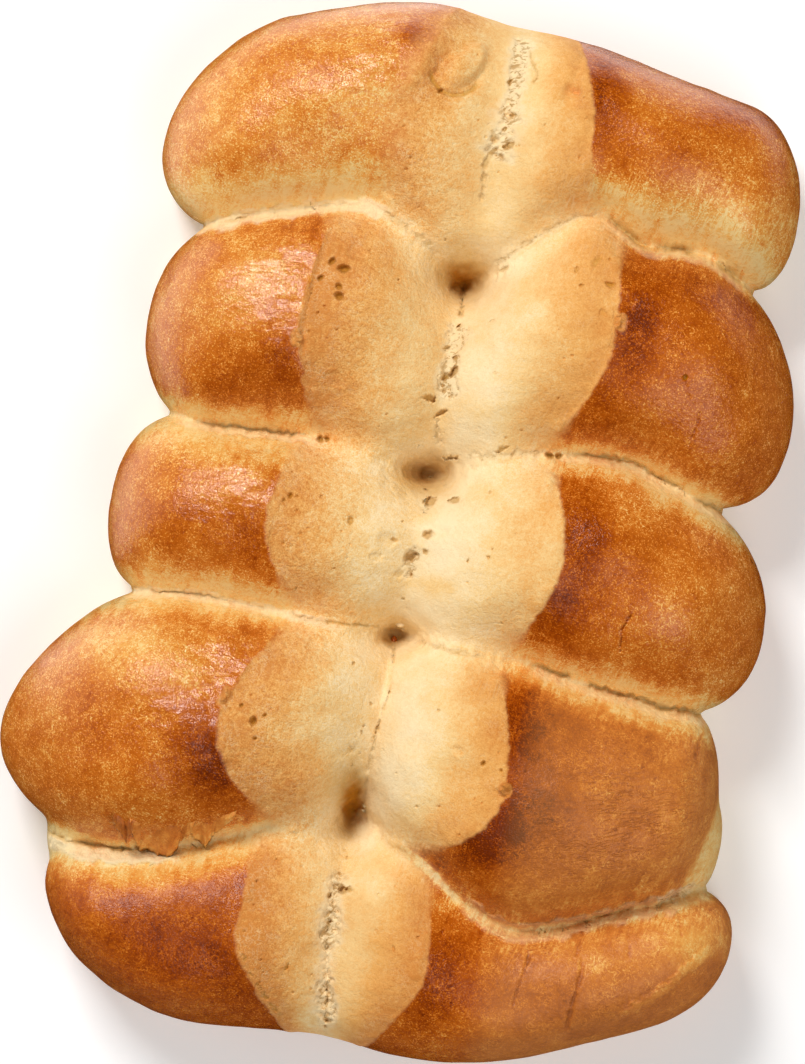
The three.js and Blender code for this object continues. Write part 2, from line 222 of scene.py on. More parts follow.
# Round holes in the pale faces: x, y, radius
HOLES = [
    (-35.5, 67, 1.2), (-32, 65.5, 1.7), (-37.7, 62, 1.0), (-32.5, 60.5, 1.1), (-32, 58, 1.4),
    (-36.7, 52.7, 0.5), (-35.5, 3.7, 0.9), (-37, 2.2, 0.6), (-33.7, 3.9, 0.5), (-34.7, -56.5, 1.3),
    (-38.5, -53, 0.7), (-32, -54.5, 0.7), (-33.5, -61, 0.7), (-36.5, -50, 0.4), (32, -58, 0.6),
    (27, -57, 0.8), (-14.9, 116.6, 0.9), (61.9, 52.6, 0.8), (-30.5, 20, 1.3), (-28.8, 20.3, 1.0),
    (30.5, 26, 1.5), (33, 26.6, 1.1),
    (-0.4, 38.3, 0.4), (0.8, 38.9, 0.4), (1.5, 37.1, 0.45), (2.4, 36.8, 0.35), (-0.6, 29.8, 0.35),
    (-0.4, 28.8, 0.35), (-0.7, 26.3, 0.4), (0.7, 27.2, 0.35), (1.7, 27.4, 0.35), (-4.7, 23.1, 0.4),
    (19.6, -1, 0.4), (-2.5, 2.9, 0.35), (-5.1, 2.1, 0.45), (-3.9, 0, 0.35), (-11.4, -37.3, 0.6),
    (-7.3, -56.5, 0.35), (-2.9, -57.1, 0.4), (-4, -59.5, 0.35), (-5.4, -60.8, 0.4), (-7.2, -64.1, 0.4),
    (0.3, -58.7, 0.35), (4.8, -64, 0.35), (-4.9, -87.4, 0.5), (-4.1, -89.1, 0.5), (-5.3, -93.6, 0.6),
    (-26.6, -98.8, 0.5),
]

# Torn cavities of uneven shape: x, y, half length, half width, direction in degrees, depth
CAVITIES = [
    (2.7, 122.5, 1.3, 0.7, 70, 1.0), (4.8, 113.2, 1.8, 0.9, 60, 1.1), (5.2, 105.3, 1.9, 1.1, 50, 1.2),
    (1.2, 107, 1.9, 1.1, 120, 0.8), (3.4, 109.5, 1.2, 0.6, 40, 0.7), (2.0, 104, 1.0, 0.6, 30, 0.6),
    (0.7, 56.3, 1.0, 0.4, 50, 1.2), (-1.5, 49.9, 1.3, 0.8, 20, 1.1), (0.9, 47.7, 0.9, 0.7, 0, 0.9),
    (1.4, 43.8, 1.9, 1.4, 70, 2.4), (-0.6, 42.1, 1.9, 1.2, 20, 1.5), (-0.9, 39.9, 0.9, 0.6, -30, 1.2),
    (-4, 35.7, 2.1, 1.1, 0, 2.0), (-0.2, 32.2, 2.7, 0.7, 40, 1.4), (4.6, 21.3, 2.7, 0.8, 10, 1.8),
    (17.8, 25.9, 1.9, 0.9, 40, 1.0), (10, 73.4, 1.9, 0.7, 30, 0.8), (9.1, 59, 1.3, 0.5, 30, 0.5),
    (12.2, 45, 0.5, 0.6, 0, 0.5), (1.3, 8.6, 2.0, 1.5, 10, 2.2), (7.8, 10.3, 1.9, 1.3, 20, 1.6),
    (-0.3, 11.5, 0.9, 0.4, -20, 1.2), (2.5, 0, 1.9, 1.3, 10, 1.8), (-6.4, -3, 1.2, 0.6, 0, 0.9),
    (-1.7, -6.8, 2.4, 1.8, 20, 2.0), (2.6, -4.7, 1.0, 0.9, 0, 1.2), (0.1, -5.8, 1.0, 0.4, -10, 1.0),
    (-0.3, -11.4, 0.8, 0.7, 60, 1.0), (-4, -11.7, 2.1, 1.5, 10, 0.6), (-10, -8.3, 2.3, 1.5, 20, 0.5),
    (-18.6, 0.2, 1.3, 1.0, 80, 1.0), (13.8, -5.2, 0.9, 0.4, 70, 0.8), (18.8, -3.2, 0.7, 0.6, 0, 0.8),
    (-1.3, -18.1, 0.7, 0.4, 0, 0.8), (4.5, 13.5, 0.8, 0.4, 20, 0.5), (-5, -47.2, 0.8, 0.4, 110, 0.8),
    (-5.8, -53.3, 0.6, 0.4, 100, 0.8), (-5.9, -54.9, 0.8, 0.4, 100, 0.8), (-8, -60.2, 1.5, 0.9, 60, 0.8),
    (-2.2, -53.5, 1.8, 0.7, 80, 1.0), (-0.6, -43.3, 0.5, 0.4, 90, 0.8), (-3.7, -97.8, 1.6, 1.5, 0, 2.0),
    (-2.1, -97, 1.1, 0.9, 30, 1.2), (-6.8, -99.7, 1.0, 0.8, 90, 1.6), (-14.8, -120, 1.2, 0.8, 60, 0.9),
    (12.3, -110.2, 1.2, 0.5, 110, 0.6), (28.8, 75.8, 1.4, 0.8, 100, 0.8), (30.6, 72, 0.6, 0.6, 0, 0.8),
    (38.3, 73.6, 1.5, 1.2, 30, 1.1), (33.6, 79.2, 2.0, 1.5, 60, 0.7), (37.8, 65.4, 1.8, 1.3, 0, 0.6),
]

# Shallow round dimples: x, y, radius, depth
DIMPLES = [
    (-29.5, 70.5, 2.8, 0.6), (-22.5, -34, 2.6, 0.5), (20, -55, 2.0, 0.4), (-7.7, -3.3, 3.0, 0.4),
    (4, 1, 3.3, 0.5), (-29, 36, 3.2, 0.4), (20, 123.5, 2.8, 0.7),
]

# Swellings and troughs: x, y, half length, half width, direction in degrees, height
SWELLINGS = [
    (-12, 123.5, 10, 7.5, 62, -1.2), (-9.5, 124.4, 8.5, 4.2, 62, 2.8), (-15.4, 124.3, 5, 1.4, 66, -1.2),
    (15, 128, 9, 5.0, 80, 0.8), (19.6, 121.4, 2.8, 3.4, -14, -0.8), (20, 123.4, 2.4, 0.7, -14, -1.1),
]

# Crumbly nubs on the crust's edge: x, y, radius
NUBS = [(43.5, 64, 3.2), (-45, -51, 4.0), (34, -63, 2.6), (-41.5, 45, 3.0)]


# Small maths on arrays

def clamp(value, low=0.0, high=1.0):
    return np.clip(value, low, high)


def mix(a, b, share):
    return a + (b - a) * share


def smooth(value, low, high):
    """0 up to low, rising softly to 1 at high."""
    share = clamp((value - low) / (high - low))
    return share * share * (3 - 2 * share)


def bell(value, width, middle=0.0):
    """1 in the middle, falling off to both sides over about the width."""
    return np.exp(-(((value - middle) / width) ** 2))


def round_off(share, power):
    """1 at share 0, falling in a round to 0 at share 1 on either side."""
    return (1 - clamp(np.abs(share)) ** power) ** (1 / power)


def smooth_min(a, b, width):
    """The lesser of two fields, rounded where they are closer than the width."""
    near = np.maximum(width - np.abs(a - b), 0) / width
    return np.minimum(a, b) - near * near * width / 4


def lattice(cells, seed):
    """A number from 0 to 1 for each whole-numbered cell, the same on every run."""
    mixed = np.full(cells.shape[0], seed * 374761393, np.uint64)
    for axis, prime in enumerate((73856093, 19349663, 83492791)):
        mixed = (mixed ^ (cells[:, axis].astype(np.int64).astype(np.uint64) * np.uint64(prime)))
        mixed = (mixed * np.uint64(2654435761)) & np.uint64(0xFFFFFFFF)
        mixed = mixed ^ (mixed >> np.uint64(15))
    return (mixed & np.uint64(0xFFFFFF)).astype(float) / 0xFFFFFF


def noise(points, size, seed):
    """Smooth noise from -1 to 1 with lumps of about that size, one number or one for each axis."""
    place = points / np.asarray(size, float)
    cell = np.floor(place)
    part = place - cell
    part = part ** 3 * (part * (part * 6 - 15) + 10)
    total = np.zeros(len(points))
    for corner in np.ndindex(2, 2, 2):
        weight = np.prod(np.where(corner, part, 1 - part), axis=1)
        total += weight * lattice(cell + corner, seed)
    return 2 * total - 1


# The loaf's form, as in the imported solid

def line_at(points, x):
    """Height at x of a smooth line through points, run on straight past its ends."""
    px, py = np.array(points, float).T
    slope = np.empty(len(px))
    slope[1:-1] = (py[2:] - py[:-2]) / (px[2:] - px[:-2])
    slope[0] = (py[1] - py[0]) / (px[1] - px[0])
    slope[-1] = (py[-1] - py[-2]) / (px[-1] - px[-2])
    i = np.clip(np.searchsorted(px, x, side="right") - 1, 0, len(px) - 2)
    span = px[i + 1] - px[i]
    t = clamp((x - px[i]) / span)
    bend = (1 - t) * slope[i] - t * slope[i + 1]
    run_out = np.minimum(x - px[0], 0) * slope[0] + np.maximum(x - px[-1], 0) * slope[-1]
    return mix(py[i], py[i + 1], smooth(t, 0, 1)) + span * t * (1 - t) * bend + run_out


def half_value(index, x, key):
    """A value of the half of a roll that x is in."""
    roll = ROLLS[index]
    return np.where(x < roll["slit"][0], roll["left"][key], roll["right"][key])


def edge_at(index, x, across):
    """Distance of the crust's edge from the middle, across the roll from -1 (front) to 1 (back)."""
    roll = ROLLS[index]
    left = x < roll["slit"][0]
    front, middle, back = (np.where(left, a, b) for a, b in zip(roll["left"]["edge"], roll["right"]["edge"]))
    least = EDGE_ROUND ** EDGE_POWER
    most = math.hypot(1, EDGE_ROUND) ** EDGE_POWER
    bend = (np.hypot(across, EDGE_ROUND) ** EDGE_POWER - least) / (most - least)
    return mix(middle, np.where(across < 0, front, back), bend)


def width_at(index, x):
    """Middle and half width of a roll at x."""
    from_slit = x - ROLLS[index]["slit"][0]
    bite = BITE + WEB * bell(from_slit, WEB_WIDTH) - (WEB + PINCH) * bell(from_slit, PINCH_WIDTH)
    back = line_at(EDGES[index], x) + (bite if index > 0 else 0)
    front = line_at(EDGES[index + 1], x) - (bite if index < LAST else 0)
    return (back + front) / 2, (back - front) / 2


def end_share(index, x):
    """0 along a roll's length, rising to 1 at its outer end and past 1 beyond it."""
    return np.maximum((np.abs(x) - half_value(index, x, "reach")) / half_value(index, x, "round") + 1, 0)


def across_at(index, x, y):
    """Place across the roll, from -1 at its front side to 1 at its back side."""
    middle, half = width_at(index, x)
    full = np.maximum(round_off(end_share(index, x), ROUNDNESS), LEAST_FULL)
    return clamp((y - middle) / (half * full), -1, 1)


def top_at(index, x, across):
    """Height of a roll's crest at x, with the slit, the crust's step and the drooping end."""
    slit_x, slit_depth, slit_round = ROLLS[index]["slit"]
    side = np.where(x < slit_x, -1, 1)
    crown = half_value(index, x, "crown")
    other_crown = half_value(index, 2 * slit_x - x, "crown")
    edge = edge_at(index, x, across)
    face = clamp(np.hypot(x - slit_x, slit_round) / np.abs(side * edge - slit_x))
    crown = mix((crown + other_crown) / 2, crown, face)
    sunk = slit_depth * (1 - round_off(1 - face, FACE_BULGE))
    inside = np.maximum(edge - np.abs(x), 0)
    lip = LIP_HEIGHT * half_value(index, x, "lip")
    lip *= np.maximum(1 - inside / LIP_FADE, 0) * np.minimum(inside / LIP_WIDTH, 1)
    droop = clamp((np.abs(x) - half_value(index, x, "reach")) / DROOP_LENGTH + 1)
    return WIDEST_HEIGHT + (crown - WIDEST_HEIGHT - sunk - lip) * (1 - END_DROOP * droop ** 2)


def lump_at(x, y):
    waves = [np.sin(2 * math.pi * (v + LUMP_SHIFT[i]) / LUMP_LENGTH[i]) for i, v in enumerate((x, y))]
    return LUMP_HEIGHT * waves[0] * waves[1]


def roll_field(index, x, y, z):
    """How far a point is outside a roll, in units of the roll's half width; below 0 inside it."""
    middle, half = width_at(index, x)
    across = across_at(index, x, y)
    rise = top_at(index, x, across) - WIDEST_HEIGHT + lump_at(x, y)
    belly = np.where(np.where(across > 0, index > 0, index < LAST), SHARED_BELLY, FREE_BELLY)
    up = z - WIDEST_HEIGHT
    parts = (np.abs((y - middle) / half), np.abs(up) / np.where(up > 0, rise, belly), end_share(index, x))
    return sum(part ** ROUNDNESS for part in parts) ** (1 / ROUNDNESS) - 1


HALF_WIDTH = 28.0  # a usual half width of a roll, which turns the rolls' fields into millimetres
SEAM_BLEND = 2.4  # how softly the rolls meet between their crusts
FACE_BLEND = 11.0  # and between their pale faces
FACE_FADE = (16.0, 40.0)  # distances from the middle between which the one changes to the other
SLIT_SHARPER = 0.75  # share of the softness that is lost at the slit
SLIT_WIDTH = 7.0
END_WEB_BLEND = 3.0  # and how softly the web at their ends joins them
BASE_BLEND = 3.0  # round of the bottom edge
FAR = 60.0


def all_fields(points):
    """The field of every roll at each point, in millimetres."""
    fields = np.full((len(ROLLS), len(points)), FAR)
    for index in range(len(ROLLS)):
        middle, half = width_at(index, points[:, 0])
        near = np.abs(points[:, 1] - middle) < half + HALF_WIDTH / 2
        fields[index, near] = HALF_WIDTH * roll_field(index, *points[near].T)
    return fields


def end_web_field(points):
    """How far each point is outside the webs at the rolls' ends."""
    fields = []
    for middle, halves in END_WEBS:
        fields.append((np.linalg.norm((points - middle) / halves, axis=1) - 1) * min(halves))
    return np.min(fields, axis=0)


def loaf_field(points):
    """About how far each point is outside the loaf; below 0 inside it."""
    fields = all_fields(points)
    pale = 1 - smooth(np.abs(points[:, 0]), *FACE_FADE)
    blend = mix(SEAM_BLEND, FACE_BLEND, pale) * (1 - SLIT_SHARPER * bell(points[:, 0], SLIT_WIDTH))
    joined = fields[0]
    for field in fields[1:]:
        joined = smooth_min(joined, field, blend)
    joined = smooth_min(joined, end_web_field(points), END_WEB_BLEND)
    return -smooth_min(-joined, points[:, 2], BASE_BLEND)


# Meshing

def surface_net(values, low, step):
    """Vertices and triangles of the zero level of values on a grid."""
    inside = values < 0
    cells = np.array(values.shape) - 1
    flat = np.array((cells[1] * cells[2], cells[2], 1))
    total = np.zeros((cells.prod(), 3))
    count = np.zeros(cells.prod())
    quads = []
    for axis in range(3):
        step_axis, u, v = np.roll(np.eye(3, dtype=int), -axis, axis=0)
        lower = [slice(None)] * 3
        upper = [slice(None)] * 3
        lower[axis] = slice(None, -1)
        upper[axis] = slice(1, None)
        node = np.argwhere(inside[tuple(lower)] != inside[tuple(upper)])
        a = values[tuple(node.T)]
        b = values[tuple((node + step_axis).T)]
        crossing = node + step_axis * (a / (a - b))[:, None]
        ring = [(node - du * u - dv * v) @ flat for du, dv in ((0, 0), (1, 0), (1, 1), (0, 1))]
        for cell in ring:
            count += np.bincount(cell, minlength=len(count))
            for k in range(3):
                total[:, k] += np.bincount(cell, crossing[:, k], len(count))
        ring = np.stack(ring, 1)
        quads.append(np.where((a < 0)[:, None], ring, ring[:, ::-1]))
    used = np.flatnonzero(count)
    place = np.zeros(len(count), int)
    place[used] = np.arange(len(used))
    quads = place[np.concatenate(quads)]
    points = low + step * total[used] / count[used, None]
    return points, np.concatenate([quads[:, [0, 1, 2]], quads[:, [0, 2, 3]]])


LEAST_SLOPE = 0.05  # square of the least slope that a move is worked out from
LONGEST_MOVE = 1.0  # for a slope of 1


def gradient(points, reach=0.05):
    """The loaf's field at each point, and how it rises along each axis."""
    value = loaf_field(points)
    slope = np.stack([(loaf_field(points + reach * unit) - value) / reach for unit in np.eye(3)], 1)
    return value, slope


def settle(points, rounds):
    """Moves points on to the loaf's surface, and gives the surface's normals there."""
    for _ in range(rounds):
        value, slope = gradient(points)
        size = np.maximum((slope ** 2).sum(1), LEAST_SLOPE)
        points = points - clamp(value / size, -LONGEST_MOVE, LONGEST_MOVE)[:, None] * slope
    return points, slope / np.linalg.norm(slope, axis=1, keepdims=True)


def split_edges(points, faces, longest):
    """Cuts in two each edge that is longer than the longest wanted at either end, with no gaps left."""
    ends = np.sort(faces[:, [0, 1, 1, 2, 2, 0]].reshape(-1, 2), axis=1)
    edges, of_face = np.unique(ends[:, 0] * len(points) + ends[:, 1], return_inverse=True)
    a, b = np.divmod(edges, len(points))
    cut = np.linalg.norm(points[a] - points[b], axis=1) > np.minimum(longest[a], longest[b])
    middle = np.full(len(edges), -1)
    middle[cut] = len(points) + np.arange(cut.sum())
    points = np.concatenate([points, (points[a[cut]] + points[b[cut]]) / 2])
    mids = middle[of_face].reshape(-1, 3)
    # turn each face so that its uncut edges come last
    cuts = (mids >= 0).sum(1)
    turn = np.zeros(len(faces), int)
    for k in range(3):
        turn[(cuts == 1) & (mids[:, k] >= 0)] = k
        turn[(cuts == 2) & (mids[:, k] < 0)] = (k + 1) % 3
    order = (turn[:, None] + np.arange(3)) % 3
    corner = np.take_along_axis(faces, order, 1)
    mids = np.take_along_axis(mids, order, 1)
    (v0, v1, v2), (m0, m1, m2) = corner.T, mids.T
    patterns = {
        0: [(v0, v1, v2)],
        1: [(v0, m0, v2), (m0, v1, v2)],
        2: [(m0, v1, m1), (v0, m0, m1), (v0, m1, v2)],
        3: [(v0, m0, m2), (m0, v1, m1), (m2, m1, v2), (m0, m1, m2)],
    }
    pieces = [np.stack(t, 1)[cuts == n] for n, pattern in patterns.items() for t in pattern]
    return points, np.concatenate(pieces)


# What lies where on the loaf

SLIT_FADE = 7.0  # how far from the slit the looks of a roll's two halves fade into each other
WEB_FADE = 2.0  # how far from the webs their pale dough fades out


def describe(points):
    """Where each point lies: its roll, the crust's edge, the slit and the seams, in millimetres."""
    x, y = points[:, 0], points[:, 1]
    row = all_fields(points).argmin(0)
    pairs = {"toast": ("toast_and_shade_at_slit", "toast_edge"), "pale": ("pale_back", "pale_front")}
    keys = ("inside", "face", "across", "back", "front", "tone", *pairs["toast"], *pairs["pale"])
    seen = {key: np.zeros(len(points)) for key in keys}
    for index in range(len(ROLLS)):
        here = row == index
        hx, hy = x[here], y[here]
        across = across_at(index, hx, hy)
        edge = edge_at(index, hx, across)
        slit_x = ROLLS[index]["slit"][0]
        side = np.where(hx < slit_x, -1, 1)
        rightness = smooth(hx - slit_x, -SLIT_FADE, SLIT_FADE)
        seen["inside"][here] = edge - np.abs(hx)
        seen["face"][here] = np.abs(hx - slit_x) / np.abs(side * edge - slit_x)
        seen["across"][here] = across
        seen["back"][here] = line_at(EDGES[index], hx) - hy if index > 0 else FAR
        seen["front"][here] = hy - line_at(EDGES[index + 1], hx) if index < LAST else FAR
        seen["tone"][here] = half_value(index, hx, "tone")
        for key, names in pairs.items():
            for name, left, right in zip(names, ROLLS[index]["left"][key], ROLLS[index]["right"][key]):
                seen[name][here] = mix(left, right, rightness)
    seen["row"] = row
    seen["seam"] = np.maximum(np.minimum(seen["back"], seen["front"]), 0)
    seen["web"] = 1 - smooth(end_web_field(points), 0.0, WEB_FADE)
    return seen


def near_box(points, low, high):
    """Which points lie in a box in plan."""
    return np.flatnonzero(((points[:, :2] > low) & (points[:, :2] < high)).all(1))


def near_spot(points, x, y, reach):
    return near_box(points, (x - reach, y - reach), (x + reach, y + reach))


def path_distance(points, path):
    """Distance in plan from each point to a path of straight stretches, and the share of the way along it."""
    path = np.array(path, float)
    lengths = np.linalg.norm(np.diff(path, axis=0), axis=1)
    starts = np.concatenate([[0], np.cumsum(lengths)])
    nearest = np.full(len(points), np.inf)
    along = np.zeros(len(points))
    for i, length in enumerate(lengths):
        way = (path[i + 1] - path[i]) / length
        t = clamp((points[:, :2] - path[i]) @ way, 0, length)
        distance = np.linalg.norm(points[:, :2] - path[i] - t[:, None] * way, axis=1)
        closer = distance < nearest
        nearest[closer] = distance[closer]
        along[closer] = (starts[i] + t)[closer] / starts[-1]
    return nearest, along


def oval(points, x, y, half_length, half_width, degrees=0.0):
    """Distance from the middle of an oval, 1 at its rim."""
    turn = math.radians(degrees)
    dx, dy = points[:, 0] - x, points[:, 1] - y
    along = dx * math.cos(turn) + dy * math.sin(turn)
    beside = dy * math.cos(turn) - dx * math.sin(turn)
    return np.hypot(along / half_length, beside / half_width)


def between(value, low, high, fade):
    """1 between low and high, falling to 0 at both ends over the fade."""
    return smooth(value, low, low + fade) * smooth(-value, -high, fade - high)


# Seeded small pores of the pale faces
PORE_COUNTS = {"left": 14, "right": 7}  # on each half of a roll
PORE_ACROSS = (-0.7, 0.75)  # places across the roll, from its front side at -1 to its back side at 1
PORE_INSIDE = (2.0, 22.0)  # least distance from the crust's edge, and how much further it can be
PORE_CROWDING = 1.6  # how strongly they crowd by the crust's edge
PORE_RADIUS = (0.25, 0.5)

# A round hole as a cavity: half length, half width and depth for a radius of 1, and raggedness
HOLE_LENGTH = 1.15
HOLE_WIDTH = 0.9
HOLE_DEPTH = 1.4
HOLE_RAGGED = 0.3


def small_holes():
    """Small pores on the pale faces, most of them close to the crust's edge: x, y, radius."""
    draw = np.random.default_rng(SEED)
    holes = []
    for index in range(len(ROLLS)):
        for side, half in ((-1, "left"), (1, "right")):
            for _ in range(PORE_COUNTS[half]):
                across = draw.uniform(*PORE_ACROSS)
                inside = PORE_INSIDE[0] + PORE_INSIDE[1] * draw.random() ** PORE_CROWDING
                x = side * (edge_at(index, np.array(side * FAR), np.array(across)) - inside)
                middle, width = width_at(index, x)
                holes.append((float(x), float(middle + across * width), draw.uniform(*PORE_RADIUS)))
    return holes


def all_cavities():
    """Every hole and cavity as a cavity with its raggedness, the holes longer one way than the other."""
    draw = np.random.default_rng(SEED + 1)
    cavities = [(*cavity, 1.0) for cavity in CAVITIES]
    for x, y, radius in HOLES + small_holes():
        sizes = (HOLE_LENGTH * radius, HOLE_WIDTH * radius)
        cavities.append((x, y, *sizes, draw.uniform(0, 180), HOLE_DEPTH * radius, HOLE_RAGGED))
    return cavities


ALL_CAVITIES = all_cavities()

# Seeded short creases across the crust in front of the seams: seam, from x, to x, count
CREASES = [(4, 24, 84, 6), (3, 40, 84, 3)]
CREASE_SCATTER = 2.5  # along the seam, either way
CREASE_START = (2.0, 4.5)  # in front of the seam
CREASE_LENGTH = (3.0, 8.0)
CREASE_LEAN = 0.3  # most that it leans either way, as a share of its length
CREASE_WIDTH = (0.5, 0.9)
CREASE_DEPTH = 0.2
CREASE_SWING = 0.5


def seam_creases():
    """The creases by the seams, as tears."""
    draw = np.random.default_rng(SEED + 2)
    creases = []
    for seam, x_low, x_high, count in CREASES:
        for x in np.linspace(x_low, x_high, count) + draw.uniform(-CREASE_SCATTER, CREASE_SCATTER, count):
            y = float(line_at(EDGES[seam], np.array([x]))[0]) - draw.uniform(*CREASE_START)
            length = draw.uniform(*CREASE_LENGTH)
            lean = draw.uniform(-CREASE_LEAN, CREASE_LEAN) * length
            path = [(x, y), (x + 0.4 * lean, y - 0.5 * length), (x + lean, y - length)]
            creases.append((path, draw.uniform(*CREASE_WIDTH), CREASE_DEPTH, CREASE_SWING, 0.0))
    return creases


ALL_TEARS = TEARS + seam_creases()

# How far to each side the relief of a tear or gap can reach: in its widths, and a margin
REACH_WIDTHS = 3
TEAR_MARGIN = 3.0
GAP_MARGIN = 2.0


def tear_box(path, width):
    """Low and high corners in plan of the box that a tear's relief fits in."""
    reach = REACH_WIDTHS * width + TEAR_MARGIN
    return np.min(path, 0) - reach, np.max(path, 0) + reach


def gap_points(points, seam, x_low, x_high, shift, width):
    """Points near an open gap of a seam, and how far in front of or behind its middle they are."""
    x, y = points[:, 0], points[:, 1]
    near = np.flatnonzero((x > x_low) & (x < x_high))
    beside = y[near] - line_at(EDGES[seam], x[near]) - shift
    close = np.abs(beside) < REACH_WIDTHS * width + GAP_MARGIN
    return near[close], beside[close]


# Longest mesh edges on the pale faces, on the crust and under the loaf
FACE_MESH = 1.8
CRUST_MESH = 2.8
UNDER_MESH = 3.2
UPPER_SLOPE = 0.05  # least upward part of a normal that isn't under the loaf

# Longest mesh edge at each kind of detail, and how far around the detail that holds: in millimetres by the
# seams and the crust's edge, in the detail's own width, half size or radius elsewhere
FINE_MESH = {
    "seam": (1.1, 2.0), "lip": (0.8, 0.8), "hammered": (1.3, 10.0), "tear": (0.65, 0.6), "gap": (0.65, 1.0),
    "pit": (0.9, 1.2), "cavity": (0.26, 1.1), "nub": (0.5, 1.0), "dimple": (0.9, 1.2),
}
CAVITY_COARSER = 0.14  # longer edges for each millimetre of a cavity's half width
MESH_GROWTH = 0.7  # longer edges for each millimetre away from a detail
SPOT_MARGIN = 4.0  # around cavities, nubs and dimples
HAMMERED_MIDDLE = 9.0  # middle of the strip of finer mesh for hammered glaze, out from the crust's edge


def longest_edges(points, normals, seen):
    """The longest mesh edge that is wanted at each point."""
    upper = normals[:, 2] > UPPER_SLOPE
    length = np.where(seen["inside"] > 0, FACE_MESH, CRUST_MESH)

    def finer(kind, near, distance, size=1.0, coarser=0.0):
        longest, reach = FINE_MESH[kind]
        away = np.maximum(distance - reach * size, 0)
        length[near] = np.minimum(length[near], longest + coarser + MESH_GROWTH * away)

    top = np.flatnonzero(upper)
    finer("seam", top, seen["seam"][top])
    finer("lip", top, np.abs(seen["inside"][top]))
    out_from_edge = np.abs(seen["inside"] + HAMMERED_MIDDLE)
    hammered = np.flatnonzero(upper & (points[:, 0] < 0) & (out_from_edge < FINE_MESH["hammered"][1]))
    finer("hammered", hammered, out_from_edge[hammered])
    for path, width, *_ in ALL_TEARS:
        near = near_box(points, *tear_box(path, width))
        finer("tear", near, path_distance(points[near], path)[0], width)
    for seam, x_low, x_high, shift, width, *_ in GAPS:
        near, beside = gap_points(points, seam, x_low, x_high, shift, width)
        finer("gap", near, np.abs(beside), width)
    for x, y, half_x, half_y, _ in PITS:
        near = near_spot(points, x, y, 2 * max(half_x, half_y))
        finer("pit", near, half_x * oval(points[near], x, y, half_x, half_y), half_x)
    for x, y, half_length, half_width, degrees, *_ in ALL_CAVITIES:
        near = near_spot(points, x, y, half_length + SPOT_MARGIN)
        distance = half_width * oval(points[near], x, y, half_length, half_width, degrees)
        finer("cavity", near, distance, half_width, CAVITY_COARSER * half_width)
    for kind, spots in (("nub", NUBS), ("dimple", DIMPLES)):
        for x, y, radius, *_ in spots:
            near = near_spot(points, x, y, radius + SPOT_MARGIN)
            finer(kind, near, np.hypot(points[near, 0] - x, points[near, 1] - y), radius)
    return np.where(upper, length, UNDER_MESH)


# Relief and looks

# Waves of noise: height, size of the lumps in all directions or along each axis, and seed.
# Those of gaps, bands, tears and cavities bend their outlines, and are scaled with their sizes where said.
WAVES = {
    "dough": [(0.22, 9.0, 1), (0.10, 4.0, 2)],
    "hammered": [(0.48, (6.5, 3.0, 3.6), 4), (0.2, (2.6, 1.8, 2.2), 3)],
    "lip": [(1.0, 6.0, 27)],
    "fold": [(0.34, (9.0, 5.5, 9.0), 38), (0.14, (3.6, 2.6, 3.6), 39)],
    "stretch": [(0.13, (1.5, 11.0, 11.0), 5)],
    "seam": [(0.25, (1.0, 4.0, 4.0), 6), (0.2, 1.5, 7)],
    "gap_bend": [(0.8, (6.0, 40.0, 40.0), 8)],  # for each millimetre of width, up to 1
    "gap_edge": [(0.4, (1.2, 3.0, 40.0), 9)],
    "gap_open": [(1.0, (7.0, 30.0, 30.0), 10)],
    "band_bend": [(0.35, (3.0, 5.0, 40.0), 40)],  # for each millimetre of half width
    "band_edge": [(0.4, 1.3, 41)],
    "band": [(0.25, 1.6, 42), (0.15, 0.9, 43)],
    "tear_edge": [(1.0, (1.8, 1.4, 3.0), 11), (0.5, 0.8, 12)],  # for a swing of 1
    "tear_width": [(0.25, (20.0, 5.0, 20.0), 28)],  # for each millimetre of width
    "crumbly": [(0.5, (1.9, 1.1, 1.5), 13), (0.4, 0.8, 17)],
    "funnel": [(0.14, 3.2, 36), (0.08, 1.4, 37)],
    "cavity": [(0.35, 1.1, 14), (0.2, 0.5, 18)],  # sizes in the cavity's half width
    "dimple": [(0.22, 2.0, 15)],
    "nub": [(1.1, 1.5, 16), (0.7, 0.8, 19)],
    "glaze": [(1.0, 3.4, 20)],
    "glaze_fine": [(0.3, 1.1, 21)],
    "tone": [(0.05, 14.0, 22), (0.04, 5.0, 23)],
    "streaks": [(0.13, (1.2, 12.0, 12.0), 29)],
    "pale_band": [(0.6, (1.6, 9.0, 9.0), 24), (0.6, 5.0, 25)],
    "toast": [(0.06, 7.0, 26)],
    "flake": [(0.35, 2.2, 31), (0.2, 0.9, 32)],
    "flake_x": [(0.35, 0.9, 44)],
    "flake_y": [(0.35, 0.9, 45)],
    "flake_tone": [(0.14, 1.6, 33)],
    "crumb": [(0.25, 0.8, 34)],
}


def waves(points, kind):
    """Sum of the waves of one kind."""
    return sum(height * noise(points, size, seed) for height, size, seed in WAVES[kind])


TOP_SLOPE = 0.35  # upward part of a normal from which a place is fully on the loaf's top
CRUST_FADE = 0.5  # half the width of the change from pale face to crust
BASE_FADE = (0.2, 3.0)  # heights between which the relief sets in

# A strip is the width and the middle of a bell; inside the crust's edge is above 0, outside it below 0.
# Hammered glaze on the left: strips by the crust's edge and across a roll, and where it sets in
HAMMERED_STRIP = (11.0, -8.0)
HAMMERED_ACROSS = (0.6, 0.3)
HAMMERED_FADE = (20.0, 35.0)

# Where the step at the crust's edge dies away: height, strip, and levels of noise
LIP_LOSS = 0.7
LIP_LOSS_STRIP = (2.0, 1.5)
LIP_LOSS_FADE = (-0.2, 0.3)

# Folds of the pale faces: how far inside the crust's edge they are full, and how they lessen to the edge
FOLD_INSIDE = 5.0
FOLD_LOSS = 0.7
FOLD_FADE = (0.4, 0.9)

